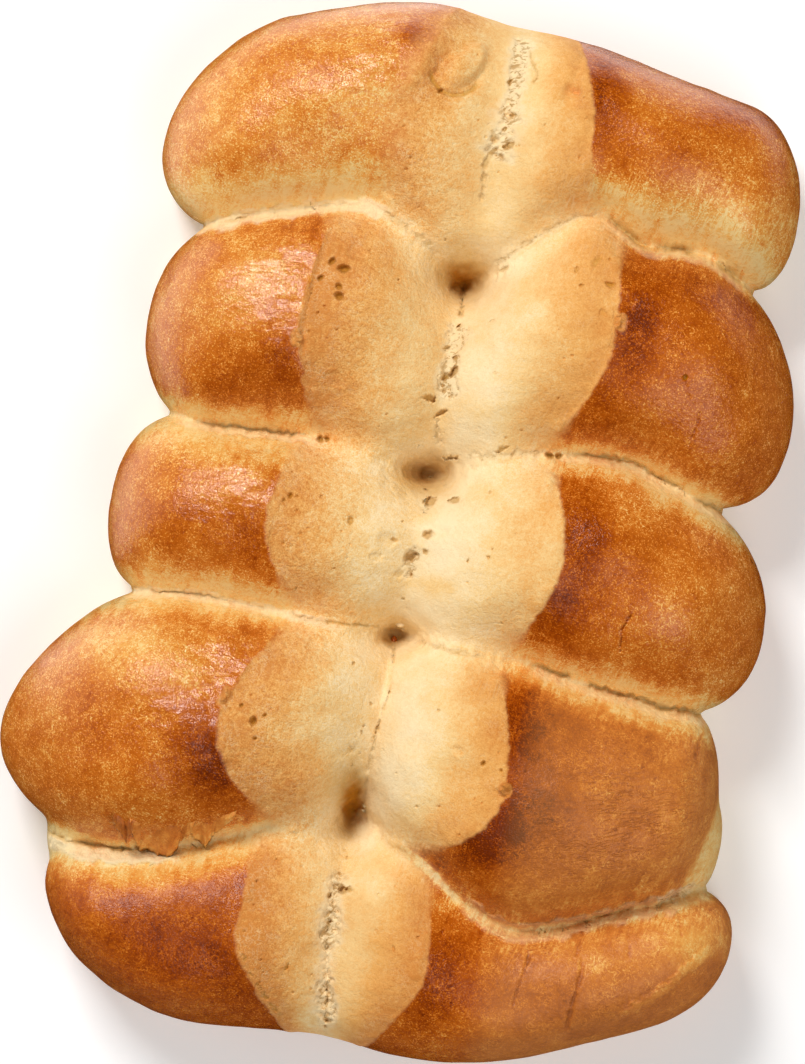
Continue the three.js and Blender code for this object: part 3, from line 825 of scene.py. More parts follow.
# Widths of the stretch marks, the rough strip and the torn strip along the seams, and the share that is torn
STRETCH_WIDTH = 9.0
SEAM_WIDTH = 2.5
SEAM_TORN_WIDTH = 1.4
SEAM_TORN = 0.25

# Open gaps: length of their ends, levels of noise that open them, weight of the open share, slope, shade, and
# the torn strip in front of them, in widths of the gap up to a largest one
GAP_END = 5.0
GAP_OPEN = (0.2, 0.6)
GAP_OPEN_SHARE = 0.8
GAP_BEND_WIDTH = 1.0
GAP_SLOPE = 0.8
GAP_SHADE = 0.25
GAP_STRIP_WIDTH = 1.2
GAP_STRIP = (1.2, 0.6, 1.8)  # distance in front, half width in full and faded out
GAP_TORN = 0.5

# Torn bands: length of their ends, and share of the half width that they fill
BAND_END = 6.0
BAND_FULL = 0.6

# Tears: share of the length that their ends take, shares of the width between which the bed rises and the
# pale crumb fades, average share of the depth that pale crumb is torn to, and shade of a crease
TEAR_END = 0.12
TEAR_BED = (0.2, 0.55)
TEAR_PALE = (0.3, 0.9)
TEAR_DEPTH = 0.7
CREASE_SHADE = 0.5

# Depths of a pit between which its painted shade sets in
PIT_SHADE = (0.4, 9.0)

# Cavities: shares of the half size between which the wall rises, painted shade, how much paler ragged ones
# are, and depths between which the painted shade sets in
CAVITY_WALL = (0.4, 1.0)
CAVITY_SHADE = 0.85
RAGGED_PALER = 0.25
CAVITY_DARK = (0.3, 1.1)

# Dimples: width for a length of 1, shares of the radius between which the wall rises, and the raised rim's
# height and strip
DIMPLE_WIDTH = 0.8
DIMPLE_WALL = (0.5, 1.05)
DIMPLE_RIM = 0.12
DIMPLE_RIM_STRIP = (0.14, 1.1)

# Shares of the half size over which swellings and nubs fall off, and height and width of a nub
SWELLING_WALL = (0.5, 1.1)
NUB_WALL = (0.5, 1.0)
NUB_HEIGHT = 0.5
NUB_WIDTH = 2.0

# The golden stretch of seam between the two front rolls on the right, with painted warm shade in its valley:
# y that it lies in front of, where it sets in, width and painted shade
GOLDEN_BACK = -60.0
GOLDEN_FADE = (15.0, 35.0)
GOLDEN_WIDTH = 2.2
GOLDEN_SHADE = 0.2


def golden_seam(points):
    """1 on the right by the front seam, 0 elsewhere."""
    return smooth(points[:, 0], *GOLDEN_FADE) * (points[:, 1] < GOLDEN_BACK)


class Relief:
    """How far each point is moved along its normal and straight down, and the marks that this leaves."""

    def __init__(self, points, normals, seen):
        self.points = points
        self.normals = normals
        self.seen = seen
        self.top = smooth(normals[:, 2], 0.0, TOP_SLOPE)
        self.crust = smooth(-seen["inside"], -CRUST_FADE, CRUST_FADE)
        self.out = waves(points, "dough")
        self.down = np.zeros(len(points))
        # marks: torn crumb, painted shade of hollows, crumbly nubs, painted shade of cracks and highlight of
        # ridges, porous crumb, hammered glaze
        keys = ("torn", "hollow_shade", "crumbs", "crack_shade_and_ridge_highlight", "porous", "hammered")
        self.marks = {key: np.zeros(len(points)) for key in keys}
        self.shape_crust()
        self.shape_seams()
        self.open_gaps()
        self.lay_bands()
        self.cut_tears()
        self.sink_pits()
        self.cut_cavities()
        self.press_dimples()
        self.raise_swellings()
        self.raise_nubs()

    def mark(self, key, near, amount):
        """Makes a mark at least that strong."""
        self.marks[key][near] = np.maximum(self.marks[key][near], amount)

    def shape_crust(self):
        """Hammered glaze on the left, the broken step at the crust's edge and the folds of the pale faces."""
        inside = self.seen["inside"]
        hammered = self.crust * bell(inside, *HAMMERED_STRIP)
        hammered *= smooth(-self.points[:, 0], *HAMMERED_FADE) * (self.seen["row"] < LAST)
        hammered *= bell(self.seen["across"], *HAMMERED_ACROSS)
        self.mark("hammered", slice(None), hammered)
        self.out += hammered * waves(self.points, "hammered")
        lost = smooth(waves(self.points, "lip"), *LIP_LOSS_FADE) * self.top
        self.out += LIP_LOSS * bell(inside, *LIP_LOSS_STRIP) * lost
        by_slit = 1 - FOLD_LOSS * smooth(self.seen["face"], *FOLD_FADE)
        self.out += smooth(inside, 0, FOLD_INSIDE) * by_slit * self.top * waves(self.points, "fold")

    def shape_seams(self):
        """Stretch marks and fibres across the seams, torn crumb along them, and painted warm shade in the
        golden one.
        """
        seam = self.seen["seam"]
        self.out += bell(seam, STRETCH_WIDTH) * self.top * waves(self.points, "stretch")
        self.out += bell(seam, SEAM_WIDTH) * self.top * waves(self.points, "seam")
        self.mark("torn", slice(None), SEAM_TORN * bell(seam, SEAM_TORN_WIDTH) * self.crust * self.top)
        # painted warm shade in the valley of the golden seam
        golden_seam_shade = bell(seam, GOLDEN_WIDTH) * self.crust * golden_seam(self.points)
        self.mark("hollow_shade", slice(None), GOLDEN_SHADE * golden_seam_shade)

    def open_gaps(self):
        """Narrow gaps along the seams, each with a torn strip in front of it."""
        for seam, x_low, x_high, shift, width, depth, share in GAPS:
            near, beside = gap_points(self.points, seam, x_low, x_high, shift, width)
            spot = self.points[near]
            bend = min(width, GAP_BEND_WIDTH) * waves(spot, "gap_bend")
            beside = beside + bend + waves(spot, "gap_edge")
            open_here = smooth(waves(spot, "gap_open") + GAP_OPEN_SHARE * share, *GAP_OPEN)
            ends = between(spot[:, 0], x_low, x_high, GAP_END)
            shape = (1 - smooth(np.abs(beside), 0.0, GAP_SLOPE * width)) * open_here * ends
            self.down[near] += depth * shape * self.top[near]
            # painted shade in the gap
            self.mark("hollow_shade", near, GAP_SHADE * depth * shape)
            in_front, full, faded = (min(width, GAP_STRIP_WIDTH) * size for size in GAP_STRIP)
            strip = 1 - smooth(np.abs(beside + in_front), full, faded)
            self.mark("torn", near, GAP_TORN * ends * strip)

    def lay_bands(self):
        """Bands of pale torn crumb along the seams."""
        for seam, x_low, x_high, shift, half_width, share, rise in BANDS:
            near, beside = gap_points(self.points, seam, x_low, x_high, shift, half_width)
            spot = self.points[near]
            beside = beside + half_width * waves(spot, "band_bend") + waves(spot, "band_edge")
            ends = between(spot[:, 0], x_low, x_high, BAND_END)
            band = (1 - smooth(np.abs(beside), BAND_FULL * half_width, half_width)) * ends * self.top[near]
            self.mark("torn", near, share * band)
            self.down[near] -= rise * band
            self.out[near] += band * waves(spot, "band")

    def cut_tears(self):
        """Tears along the slit, and thin cracks and creases."""
        for path, width, depth, swing, pale in ALL_TEARS:
            near = near_box(self.points, *tear_box(path, width))
            spot = self.points[near]
            distance, along = path_distance(spot, path)
            distance = distance + swing * waves(spot, "tear_edge") + width * pale * waves(spot, "tear_width")
            distance = np.abs(distance) / width
            ends = between(along, 0.0, 1.0, TEAR_END) * self.top[near]
            bed = (1 - smooth(distance, *TEAR_BED)) * ends
            self.down[near] += bed * depth * mix(1.0, TEAR_DEPTH + waves(spot, "crumbly"), pale)
            on_face = (depth > 0) * (self.seen["inside"][near] > 0)
            # painted shade in creases on the pale faces
            self.mark("hollow_shade", near, CREASE_SHADE * bed * (1 - pale) * on_face)
            # painted shade along cracks, and a painted highlight along raised ridges, whose depth is below 0
            self.marks["crack_shade_and_ridge_highlight"][near] += bed * (pale == 0) * np.sign(depth)
            self.mark("torn", near, pale * (1 - smooth(distance, *TEAR_PALE)) * ends)
            self.mark("porous", near, pale * bed)

    def sink_pits(self):
        """Pits where rolls meet on the slit, with painted shade in them."""
        funnel = np.zeros(len(self.points))
        for x, y, half_x, half_y, depth in PITS:
            funnel += depth * bell(oval(self.points, x, y, half_x, half_y), 1.0) * self.top
        funnel *= 1 + waves(self.points, "funnel")
        self.down += funnel
        # painted shade, darker and browner the deeper the funnel
        self.mark("hollow_shade", slice(None), smooth(funnel, *PIT_SHADE))

    def cut_cavities(self):
        """Holes and torn cavities of the pale faces."""
        for x, y, half_length, half_width, degrees, depth, ragged in ALL_CAVITIES:
            near = near_spot(self.points, x, y, 2 * half_length)
            spot = self.points[near]
            distance = oval(spot, x, y, half_length, half_width, degrees)
            distance += ragged * waves(spot / half_width, "cavity")
            bowl = (1 - smooth(distance, *CAVITY_WALL)) * self.top[near]
            self.down[near] += depth * bowl
            # painted shade in the cavity's bowl
            shade = (CAVITY_SHADE - RAGGED_PALER * ragged) * smooth(depth, *CAVITY_DARK)
            self.mark("hollow_shade", near, shade * bowl)

    def press_dimples(self):
        """Shallow dimples with a slightly raised rim."""
        for x, y, radius, depth in DIMPLES:
            near = near_spot(self.points, x, y, 2 * radius)
            spot = self.points[near]
            distance = oval(spot, x, y, radius, DIMPLE_WIDTH * radius) + waves(spot, "dimple")
            rim = DIMPLE_RIM * bell(distance, *DIMPLE_RIM_STRIP)
            self.out[near] -= (depth * (1 - smooth(distance, *DIMPLE_WALL)) - rim) * self.top[near]

    def raise_swellings(self):
        for x, y, half_length, half_width, degrees, height in SWELLINGS:
            distance = oval(self.points, x, y, half_length, half_width, degrees)
            self.out += height * (1 - smooth(distance, *SWELLING_WALL)) * self.top

    def raise_nubs(self):
        """Crumbly nubs on the crust's edge."""
        for x, y, radius in NUBS:
            near = near_spot(self.points, x, y, radius)
            spot = self.points[near]
            nub = (1 - smooth(oval(spot, x, y, radius, radius), *NUB_WALL)) * self.top[near]
            nub *= bell(self.seen["inside"][near], NUB_WIDTH)
            self.out[near] += nub * (NUB_HEIGHT + waves(spot, "nub"))
            self.mark("crumbs", near, nub)

    def moved(self):
        """The points after the relief, which fades out at the base."""
        base = smooth(self.points[:, 2], *BASE_FADE)[:, None]
        moved = self.points + self.out[:, None] * base * self.normals - self.down[:, None] * base * UP
        moved[:, 2] = np.maximum(moved[:, 2], 0)
        return moved


LOOKS = ("glaze", "tone", "toast", "torn", "hollow_shade", "wrinkle", "grain", "blotch", "porous", "fibre", "dull",
         "hammered")

# Glaze: softness of its edge on the back roll's left half, elsewhere and what seams add to that, the edge's
# wobble on the right and on the left and the softness that doubles it, how the faces narrow down the loaf's
# ends, and how nubs lose their glaze
BACK_SOFT = 7.0
EDGE_SOFT = 0.45
SEAM_SOFT = 3.5
SEAM_SOFT_FADE = (2.0, 12.0)
WOBBLE = (0.25, 0.6)
WOBBLE_FADE = 20.0
SOFT_WOBBLE = 6.0
NARROWING = 26.0
NARROWING_FADE = (2.0, 30.0)
NUB_BARE = (0.1, 0.5)

# Tone: darker strip outside the crust's edge, paler low down, least share in the pale seams and in the golden
# one, shape of the pale bands, width of the streaks across the seams, paler webs, and painted shade in cracks
# that is a painted highlight along raised ridges
EDGE_TONE = 0.10
EDGE_TONE_STRIP = (7.0, -4.0)
LOW_PALER = 0.25
LOW_FADE = (3.0, 22.0)
SEAM_TONES = (0.22, 0.45)
BAND_RAGGED = 0.3
BAND_FADE = (0.4, 1.7)  # in widths of the band
BAND_LEAST = 0.3
STREAK_WIDTH = 12.0
WEB_PALER = 0.8
CRACK_SHADE_AND_RIDGE_HIGHLIGHT = 0.16

# Toast: shares of the face over which it changes from the slit's to the edge's, paler by the seams, nubs
TOAST_FADE = (0.2, 0.95)
SEAM_TOAST = 0.55
SEAM_TOAST_FADE = (1.0, 12.0)
NUB_TOAST = 0.5

# Rougher skin of the faces left of the slit and by the crust's edge
SMOOTH_SKIN = 0.5
LEFT_FADE = (-2.0, 6.0)
GRAIN_FADE = (0.2, 0.8)

# Wrinkles on the fourth roll's right half: strips along x and y
WRINKLED = ((24.0, 66.0), (20.0, -64.0))
WRINKLED_ROW = 3

# Blotches outside the crust's edge on the right: strip, and where they set in
BLOTCH_STRIP = (10.0, -6.0)
BLOTCH_FADE = (10.0, 30.0)

# Fibres: width along the seams, share on the left, distance over which the right's sets in, and strips along
# x and y of a patch on the back roll's right half
FIBRE_WIDTH = 11.0
FIBRE_LEFT = 0.7
FIBRE_FADE = 20.0
FIBRE_PATCH = ((30.0, 60.0), (9.0, 98.0))

# Dull crust: where it sets in, its first row on the right, and its share on the left of the front roll
DULL_FADE = (20.0, 45.0)
DULL_ROW = 3
DULL_LEFT = 0.6


def add_spots(values, points, spots):
    """Adds soft oval spots to the values: x, y, half length, half width, amount."""
    for x, y, half_length, half_width, amount in spots:
        values += amount * bell(oval(points, x, y, half_length, half_width), 1.0)


def patch(points, along_x, along_y):
    """A soft patch where two strips cross."""
    return bell(points[:, 0], *along_x) * bell(points[:, 1], *along_y)


def glaze_share(points, seen, marks):
    """1 on the glazed crust, 0 on the bare faces."""
    x, z = points[:, 0], points[:, 2]
    wobble = mix(*WOBBLE, smooth(-x, 0, WOBBLE_FADE)) * waves(points, "glaze") + waves(points, "glaze_fine")
    soft = EDGE_SOFT + SEAM_SOFT * (1 - smooth(seen["seam"], *SEAM_SOFT_FADE))
    soft = np.where((seen["row"] == 0) & (x < 0), BACK_SOFT, soft)
    inside = seen["inside"] - NARROWING * (1 - smooth(z, *NARROWING_FADE))
    glaze = smooth(-inside + wobble * (1 + soft / SOFT_WOBBLE), -soft, soft)
    return glaze * (1 - smooth(marks["crumbs"], *NUB_BARE))


def tone_share(points, seen, marks):
    """How brown the glazed crust is, with painted highlights and the painted shade of cracks."""
    tone = seen["tone"] + waves(points, "tone")
    tone += EDGE_TONE * bell(seen["inside"], *EDGE_TONE_STRIP)
    # browning, and painted highlights among the lighter places
    add_spots(tone, points, BROWNING_AND_PAINTED_HIGHLIGHTS)
    tone -= LOW_PALER * (1 - smooth(points[:, 2], *LOW_FADE))
    least = mix(*SEAM_TONES, golden_seam(points))
    ragged = 1 + BAND_RAGGED * waves(points, "pale_band")
    for side in ("back", "front"):
        width = seen["pale_" + side] * ragged
        tone *= mix(least, 1.0, smooth(seen[side], BAND_FADE[0] * width, BAND_FADE[1] * width + BAND_LEAST))
    tone += waves(points, "streaks") * bell(seen["seam"], STREAK_WIDTH)
    tone *= 1 - WEB_PALER * seen["web"]
    # painted shade in cracks, painted highlight on raised ridges
    return tone + CRACK_SHADE_AND_RIDGE_HIGHLIGHT * marks["crack_shade_and_ridge_highlight"]


def toast_share(points, seen, marks):
    """How toasted the bare faces are."""
    toast = mix(seen["toast_and_shade_at_slit"], seen["toast_edge"], smooth(seen["face"], *TOAST_FADE))
    toast *= mix(SEAM_TOAST, 1.0, smooth(seen["seam"], *SEAM_TOAST_FADE))
    toast += waves(points, "toast") + NUB_TOAST * marks["crumbs"]
    add_spots(toast, points, TOASTING)
    return toast


def look(points, seen, marks):
    """The shares from 0 to 1 that the material reads, by name."""
    x, row = points[:, 0], seen["row"]
    left_skin = mix(SMOOTH_SKIN, 1.0, smooth(-x, *LEFT_FADE))
    fibre = bell(seen["seam"], FIBRE_WIDTH) * mix(FIBRE_LEFT, 1.0, smooth(x, 0, FIBRE_FADE))
    dull = smooth(x, *DULL_FADE) * (row >= DULL_ROW)
    dull += DULL_LEFT * smooth(-x, *DULL_FADE) * (row == LAST)
    shares = {
        "glaze": glaze_share(points, seen, marks),
        "tone": tone_share(points, seen, marks),
        "toast": toast_share(points, seen, marks),
        "wrinkle": patch(points, *WRINKLED) * (row == WRINKLED_ROW),
        "grain": left_skin * mix(SMOOTH_SKIN, 1.0, smooth(seen["face"], *GRAIN_FADE)),
        "blotch": bell(seen["inside"], *BLOTCH_STRIP) * smooth(x, *BLOTCH_FADE),
        "fibre": fibre + patch(points, *FIBRE_PATCH),
        "dull": dull,
        **{key: marks[key] for key in ("torn", "hollow_shade", "porous", "hammered")},
    }
    return {key: clamp(shares[key]) for key in LOOKS}


GRID_STEP = 2.0
GRID_LOW = (-107.0, -146.0, -3.0)
GRID_HIGH = (107.0, 147.0, 67.0)
FIRST_MOVES = 4  # that bring the grid's points on to the surface
LATER_MOVES = 2  # that bring the points of cut edges on to it
FINER_ROUNDS = 3


def loaf_skin():
    """The loaf's fine mesh: vertices in its own frame before and after relief, triangles and looks."""
    axes = [np.arange(low, high, GRID_STEP) for low, high in zip(GRID_LOW, GRID_HIGH)]
    nodes = np.stack(np.meshgrid(*axes, indexing="ij"), -1)
    values = loaf_field(nodes.reshape(-1, 3)).reshape(nodes.shape[:3])
    points, faces = surface_net(values, np.array(GRID_LOW), GRID_STEP)
    points, normals = settle(points, FIRST_MOVES)
    for _ in range(FINER_ROUNDS):
        settled = len(points)
        points, faces = split_edges(points, faces, longest_edges(points, normals, describe(points)))
        points[settled:], new_normals = settle(points[settled:], LATER_MOVES)
        normals = np.concatenate([normals, new_normals])
    seen = describe(points)
    relief = Relief(points, normals, seen)
    return points, relief.moved(), faces, look(points, seen, relief.marks)


# Thin torn flakes of crust: ends of the root on the crust, jagged free edge, and height of the free edge over
# the loaf below it
FLAKES = [
    {"root": ((-63, -87.5), (-45, -85)), "lift": 2.2, "tone": 0.58,
     "edge": [(-62, -91), (-60.4, -94.6), (-59, -97.4), (-57.4, -96.4), (-55, -96.9), (-52.6, -97.2),
              (-50.6, -96.6), (-49.4, -95.2), (-48.6, -92.4), (-46.6, -89.6)]},
    {"root": ((-47, -86), (-35, -80.5)), "lift": 2.0, "tone": 0.5,
     "edge": [(-46.4, -89.4), (-44.6, -91.2), (-43, -92.2), (-42, -93.2), (-41.2, -91.4), (-40, -89),
              (-37.6, -86), (-35.4, -83)]},
    {"root": ((-67, -87), (-62, -88)), "lift": 2.6, "tone": 0.8,
     "edge": [(-67, -89.4), (-65.6, -91.6), (-64, -93.2), (-62.8, -95.4), (-62.2, -93.4), (-61.6, -90.6)]},
]
FLAKE_STEPS = (40, 10)  # points along the root, and from the root to the free edge
FLAKE_THICKNESS = 0.5
FLAKE_RIM = (12, 5)  # how steeply it thins to its sides, and to its root and free edge
FLAKE_SUNK = 1.0
FLAKE_CURL = 1.3
FLAKE_RISE = 0.6  # most that the free edge is above the root
FLAKE_PALER = 0.3  # at the free edge

# Crumbs in the pits: middle in plan, half sizes, share of torn crumb; the other share is browned glaze
CRUMBS = [((-0.9, -25.2), (1.2, 0.8, 0.8), 1.0), ((-1.8, -29.8), (0.8, 1.3, 0.8), 0.0)]
CRUMB_STEPS = (14, 9)
CRUMB_TONE = 0.6
CRUMB_RISE = 0.3  # of its middle over the loaf

PROBE_HEIGHTS = np.arange(2.5, 64.5, 0.5)


def height_at(places):
    """Height of the loaf's top side over places in plan."""
    height = np.zeros(len(places))
    for z in PROBE_HEIGHTS:
        inside = loaf_field(np.column_stack([places, np.full(len(places), z)])) < 0
        height = np.where(inside, z, height)
    return height


def blank_looks(count, **shares):
    """Looks for that many points: the shares that are given, and 0 for the rest."""
    return {key: np.broadcast_to(shares.get(key, 0.0), count).astype(float) for key in LOOKS}


def spread(path, shares):
    """Points at those shares of the way along a path."""
    path = np.array(path, float)
    way = np.concatenate([[0], np.cumsum(np.linalg.norm(np.diff(path, axis=0), axis=1))])
    return np.column_stack([np.interp(shares * way[-1], way, path[:, axis]) for axis in (0, 1)])


def grid_faces(rows, columns):
    """Triangles of a grid of points, row by row."""
    a = (np.arange(rows - 1)[:, None] * columns + np.arange(columns - 1)).ravel()
    quads = np.stack([a, a + 1, a + columns + 1, a + columns], 1)
    return np.concatenate([quads[:, [0, 1, 2]], quads[:, [0, 2, 3]]])


def from_ends(shares, steepness):
    """0 at both ends of the shares from 0 to 1, rising to 1 between them."""
    return np.minimum(np.minimum(shares, 1 - shares) * steepness, 1)


def flake(root, edge, lift, tone):
    """A curled flake: its top and its underside as one closed skin."""
    across, out = (np.linspace(0, 1, steps) for steps in FLAKE_STEPS)
    root_line, edge_line = spread(root, across), spread(edge, across)
    places = np.column_stack([edge_line, edge_line[:, 0]])
    edge_line += np.column_stack([waves(places, "flake_x"), waves(places, "flake_y")])
    root_height = height_at(root_line) - FLAKE_SUNK
    edge_height = np.minimum(height_at(edge_line) + lift, root_height + FLAKE_RISE)
    plan = mix(root_line[:, None], edge_line[:, None], out[:, None])
    z = mix(root_height[:, None], edge_height[:, None], out) + FLAKE_CURL * np.sin(math.pi * out)
    top = np.concatenate([plan, z[..., None]], -1).reshape(-1, 3)
    top[:, 2] += waves(top, "flake")
    thickness = FLAKE_THICKNESS * np.outer(from_ends(across, FLAKE_RIM[0]), from_ends(out, FLAKE_RIM[1]))
    points = np.concatenate([top, top - np.outer(thickness, UP)])
    faces = grid_faces(*FLAKE_STEPS)
    faces = np.concatenate([faces, faces[:, ::-1] + len(top)])
    paler = np.tile(FLAKE_PALER * out ** 2, 2 * FLAKE_STEPS[0])
    tones = tone - paler + waves(points, "flake_tone")
    return points, faces, blank_looks(len(points), glaze=1.0, tone=clamp(tones), dull=1.0)


def crumb(skin, place, halves, torn):
    """A small lump that lies on the loaf's skin."""
    columns, rows = CRUMB_STEPS
    turn, rise = np.meshgrid(np.linspace(0, 2 * math.pi, columns), np.linspace(0, math.pi, rows))
    ball = np.stack([np.sin(rise) * np.cos(turn), np.sin(rise) * np.sin(turn), np.cos(rise)], -1)
    ball = ball.reshape(-1, 3)
    ball *= 1 + torn * waves(ball + place[0], "crumb")[:, None]
    nearest = np.linalg.norm(skin[:, :2] - place, axis=1).argmin()
    points = ball * halves + (*place, skin[nearest, 2] + CRUMB_RISE)
    looks = blank_looks(len(points), glaze=1 - torn, tone=CRUMB_TONE, torn=torn)
    return points, grid_faces(rows, columns)[:, ::-1], looks


def join(parts):
    """One mesh of many: points, triangles and looks."""
    starts = np.cumsum([0] + [len(points) for points, _, _ in parts])
    faces = np.concatenate([faces + start for (_, faces, _), start in zip(parts, starts)])
    looks = {key: np.concatenate([part[2][key] for part in parts]) for key in LOOKS}
    return np.concatenate([part[0] for part in parts]), faces, looks


def weld(points, faces, looks):
    """Makes points that share a place one point, and drops triangles that this flattens."""
    _, first, place = np.unique(np.round(points, 4), axis=0, return_index=True, return_inverse=True)
    faces = place.reshape(-1)[faces]
    whole = (faces[:, 0] != faces[:, 1]) & (faces[:, 1] != faces[:, 2]) & (faces[:, 2] != faces[:, 0])
    return points[first], faces[whole], {key: values[first] for key, values in looks.items()}


def make_mesh(name, skin, centre, material):
    """A smooth-shaded piece of the loaf from points, triangles, and each look's number at each point."""
    points, faces, looks = skin
    mesh = bpy.data.meshes.new(name)
    mesh.vertices.add(len(points))
    mesh.vertices.foreach_set("co", ((points - centre) * MM).astype(np.float32).ravel())
    mesh.loops.add(faces.size)
    mesh.loops.foreach_set("vertex_index", faces.astype(np.int32).ravel())
    mesh.polygons.add(len(faces))
    mesh.polygons.foreach_set("loop_start", np.arange(0, faces.size, faces.shape[1], dtype=np.int32))
    mesh.polygons.foreach_set("use_smooth", np.ones(len(faces), bool))
    mesh.update(calc_edges=True)
    mesh.validate()
    for key, values in looks.items():
        attribute = mesh.attributes.new(key, "FLOAT", "POINT")
        attribute.data.foreach_set("value", values.astype(np.float32))
    mesh.materials.append(material)
    piece = bpy.data.objects.new(name, mesh)
    bpy.context.scene.collection.objects.link(piece)
    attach(piece, "root")
    return piece


# Materials

def colour(red, green, blue):
    """A colour from 0 to 255 on a screen, as the shader's own numbers."""
    shares = np.array((red, green, blue)) / 255
    linear = np.where(shares < 0.04045, shares / 12.92, ((shares + 0.055) / 1.055) ** 2.4)
    return (*linear, 1.0)


LINE_DETAIL = 1.5
LINE_BEND = 0.8
NOISE_SPAN = (0.25, 0.75)  # levels between which most of the noise lies


class Nodes:
    """Short forms for the nodes of one material."""

    def __init__(self, name):
        self.material = bpy.data.materials.new(name)
        self.material.use_nodes = True
        self.tree = self.material.node_tree
        self.shader = self.tree.nodes["Principled BSDF"]
        self.place = self.add("ShaderNodeTexCoord").outputs["Object"]

    def add(self, kind, **settings):
        node = self.tree.nodes.new(kind)
        for key, value in settings.items():
            setattr(node, key, value)
        return node

    def feed(self, socket, value):
        if isinstance(value, bpy.types.NodeSocket):
            self.tree.links.new(value, socket)
        else:
            socket.default_value = value

    def share(self, name):
        return self.add("ShaderNodeAttribute", attribute_name=name).outputs["Fac"]

    def math(self, operation, *values, clamped=False):
        node = self.add("ShaderNodeMath", operation=operation, use_clamp=clamped)
        for socket, value in zip(node.inputs, values):
            self.feed(socket, value)
        return node.outputs[0]

    def times(self, *values):
        product = values[0]
        for value in values[1:]:
            product = self.math("MULTIPLY", product, value)
        return product

    def plus(self, *values):
        total = values[0]
        for value in values[1:]:
            total = self.math("ADD", total, value)
        return total

    def blend(self, share, a, b):
        node = self.add("ShaderNodeMix", data_type="RGBA")
        self.feed(node.inputs["Factor"], share)
        self.feed(node.inputs["A"], a)
        self.feed(node.inputs["B"], b)
        return node.outputs["Result"]

    def range(self, value, low, high, to_low=0.0, to_high=1.0):
        node = self.add("ShaderNodeMapRange")
        for socket, number in zip(node.inputs, (value, low, high, to_low, to_high)):
            self.feed(socket, number)
        return node.outputs[0]

    def noise(self, size, detail, stretch=(1, 1, 1), distortion=0.0, degrees=0.0):
        """Noise from 0 to 1 with lumps of about that many millimetres, stretched along turned axes."""
        place = self.add("ShaderNodeMapping", vector_type="TEXTURE")
        self.feed(place.inputs["Vector"], self.place)
        self.feed(place.inputs["Rotation"], (0, 0, math.radians(degrees)))
        self.feed(place.inputs["Scale"], [size * MM * s for s in stretch])
        node = self.add("ShaderNodeTexNoise")
        self.feed(node.inputs["Vector"], place.outputs[0])
        self.feed(node.inputs["Scale"], 1.0)
        self.feed(node.inputs["Detail"], detail)
        self.feed(node.inputs["Distortion"], distortion)
        return node.outputs["Fac"]

    def span(self, share, start, end):
        """A share from 0 to 1 turned into a number from start to end."""
        return self.range(share, 0.0, 1.0, start, end)

    def rest(self, share):
        return self.math("SUBTRACT", 1.0, share)

    def spots(self, pattern, low, high):
        """1 where a pattern of noise is above high, 0 where it is below low."""
        return self.range(self.noise(*pattern), low, high)

    def lines(self, size, width, stretch, degrees, shown):
        """Thin squiggly lines along the middle level of noise, in spots: 1 on a line, 0 off it."""
        level = self.math("SUBTRACT", self.noise(size, LINE_DETAIL, stretch, LINE_BEND, degrees), 0.5)
        line = self.range(self.math("ABSOLUTE", level), 0.0, width, 1.0, 0.0)
        return self.times(line, self.spots(*shown))

    def swing(self, value, amount):
        """Noise turned into a change of up to about that amount up or down."""
        return self.range(value, *NOISE_SPAN, -amount, amount)

    def swings(self, noises, amounts):
        """The sum of the changes that named noises make, each up to its own amount."""
        return self.plus(*(self.swing(noises[key], amount) for key, amount in amounts.items()))

    def ramp(self, value, stops):
        node = self.add("ShaderNodeValToRGB")
        elements = node.color_ramp.elements
        for _ in stops[2:]:
            elements.new(0.5)
        for element, (place, shade) in zip(elements, stops):
            element.position = place
            element.color = shade
        self.feed(node.inputs[0], value)
        return node.outputs[0]


CRUST_TONES = [
    (0.0, colour(246, 212, 142)), (0.15, colour(242, 189, 104)), (0.3, colour(234, 157, 68)),
    (0.45, colour(217, 125, 40)), (0.6, colour(197, 101, 20)), (0.75, colour(174, 80, 6)),
    (0.88, colour(150, 62, 2)), (1.0, colour(115, 42, 2)),
]
FACE_TONES = [
    (0.0, colour(255, 231, 184)), (0.3, colour(247, 206, 138)), (0.6, colour(238, 173, 92)),
    (1.0, colour(214, 135, 58)),
]
TORN_COLOUR = colour(250, 228, 184)
THREAD_COLOUR = colour(250, 220, 166)
# Colours of the painted shade in pits, gaps, creases and cavities and along the golden seam, from light to
# full
HOLLOW_SHADE_TONES = [(0.0, colour(186, 140, 34)), (0.5, colour(184, 134, 18)), (1.0, colour(176, 112, 10))]
# painted shade of the small pores of torn crumb
PORE_SHADE_COLOUR = colour(186, 141, 76)
# pale colour of a painted sheen on dull crust
PAINTED_SHEEN_COLOUR = colour(227, 188, 112)

# Patterns of noise: size in millimetres, detail, stretch along turned axes, distortion, degrees of turn
PATTERNS = {
    "grain": (0.4, 2.0),
    "flecks": (1.2, 2.0),
    "cells": (3.2, 2.0, (1, 1, 1), 0.5),
    "patches": (8.0, 2.0),
}
RIPPLES = (2.2, 2.0, (2.2, 1, 1), 0.0, 8.0)

# Spots where a pattern of noise is high: the pattern, and the levels between which they set in
# pale specks, partly pale flecks of the glaze and partly painted glints
SPECKS_AND_GLINTS = ((0.45, 1.0), 0.55, 0.68)
DARK_SPOTS = ((1.7, 1.0), 0.68, 0.76)
SMALL_PORES = ((0.9, 1.0, (1.7, 0.8, 1)), 0.56, 0.66)
LARGE_PORES = ((2.0, 2.0, (1.6, 0.8, 1), 0.6, 40.0), 0.53, 0.62)

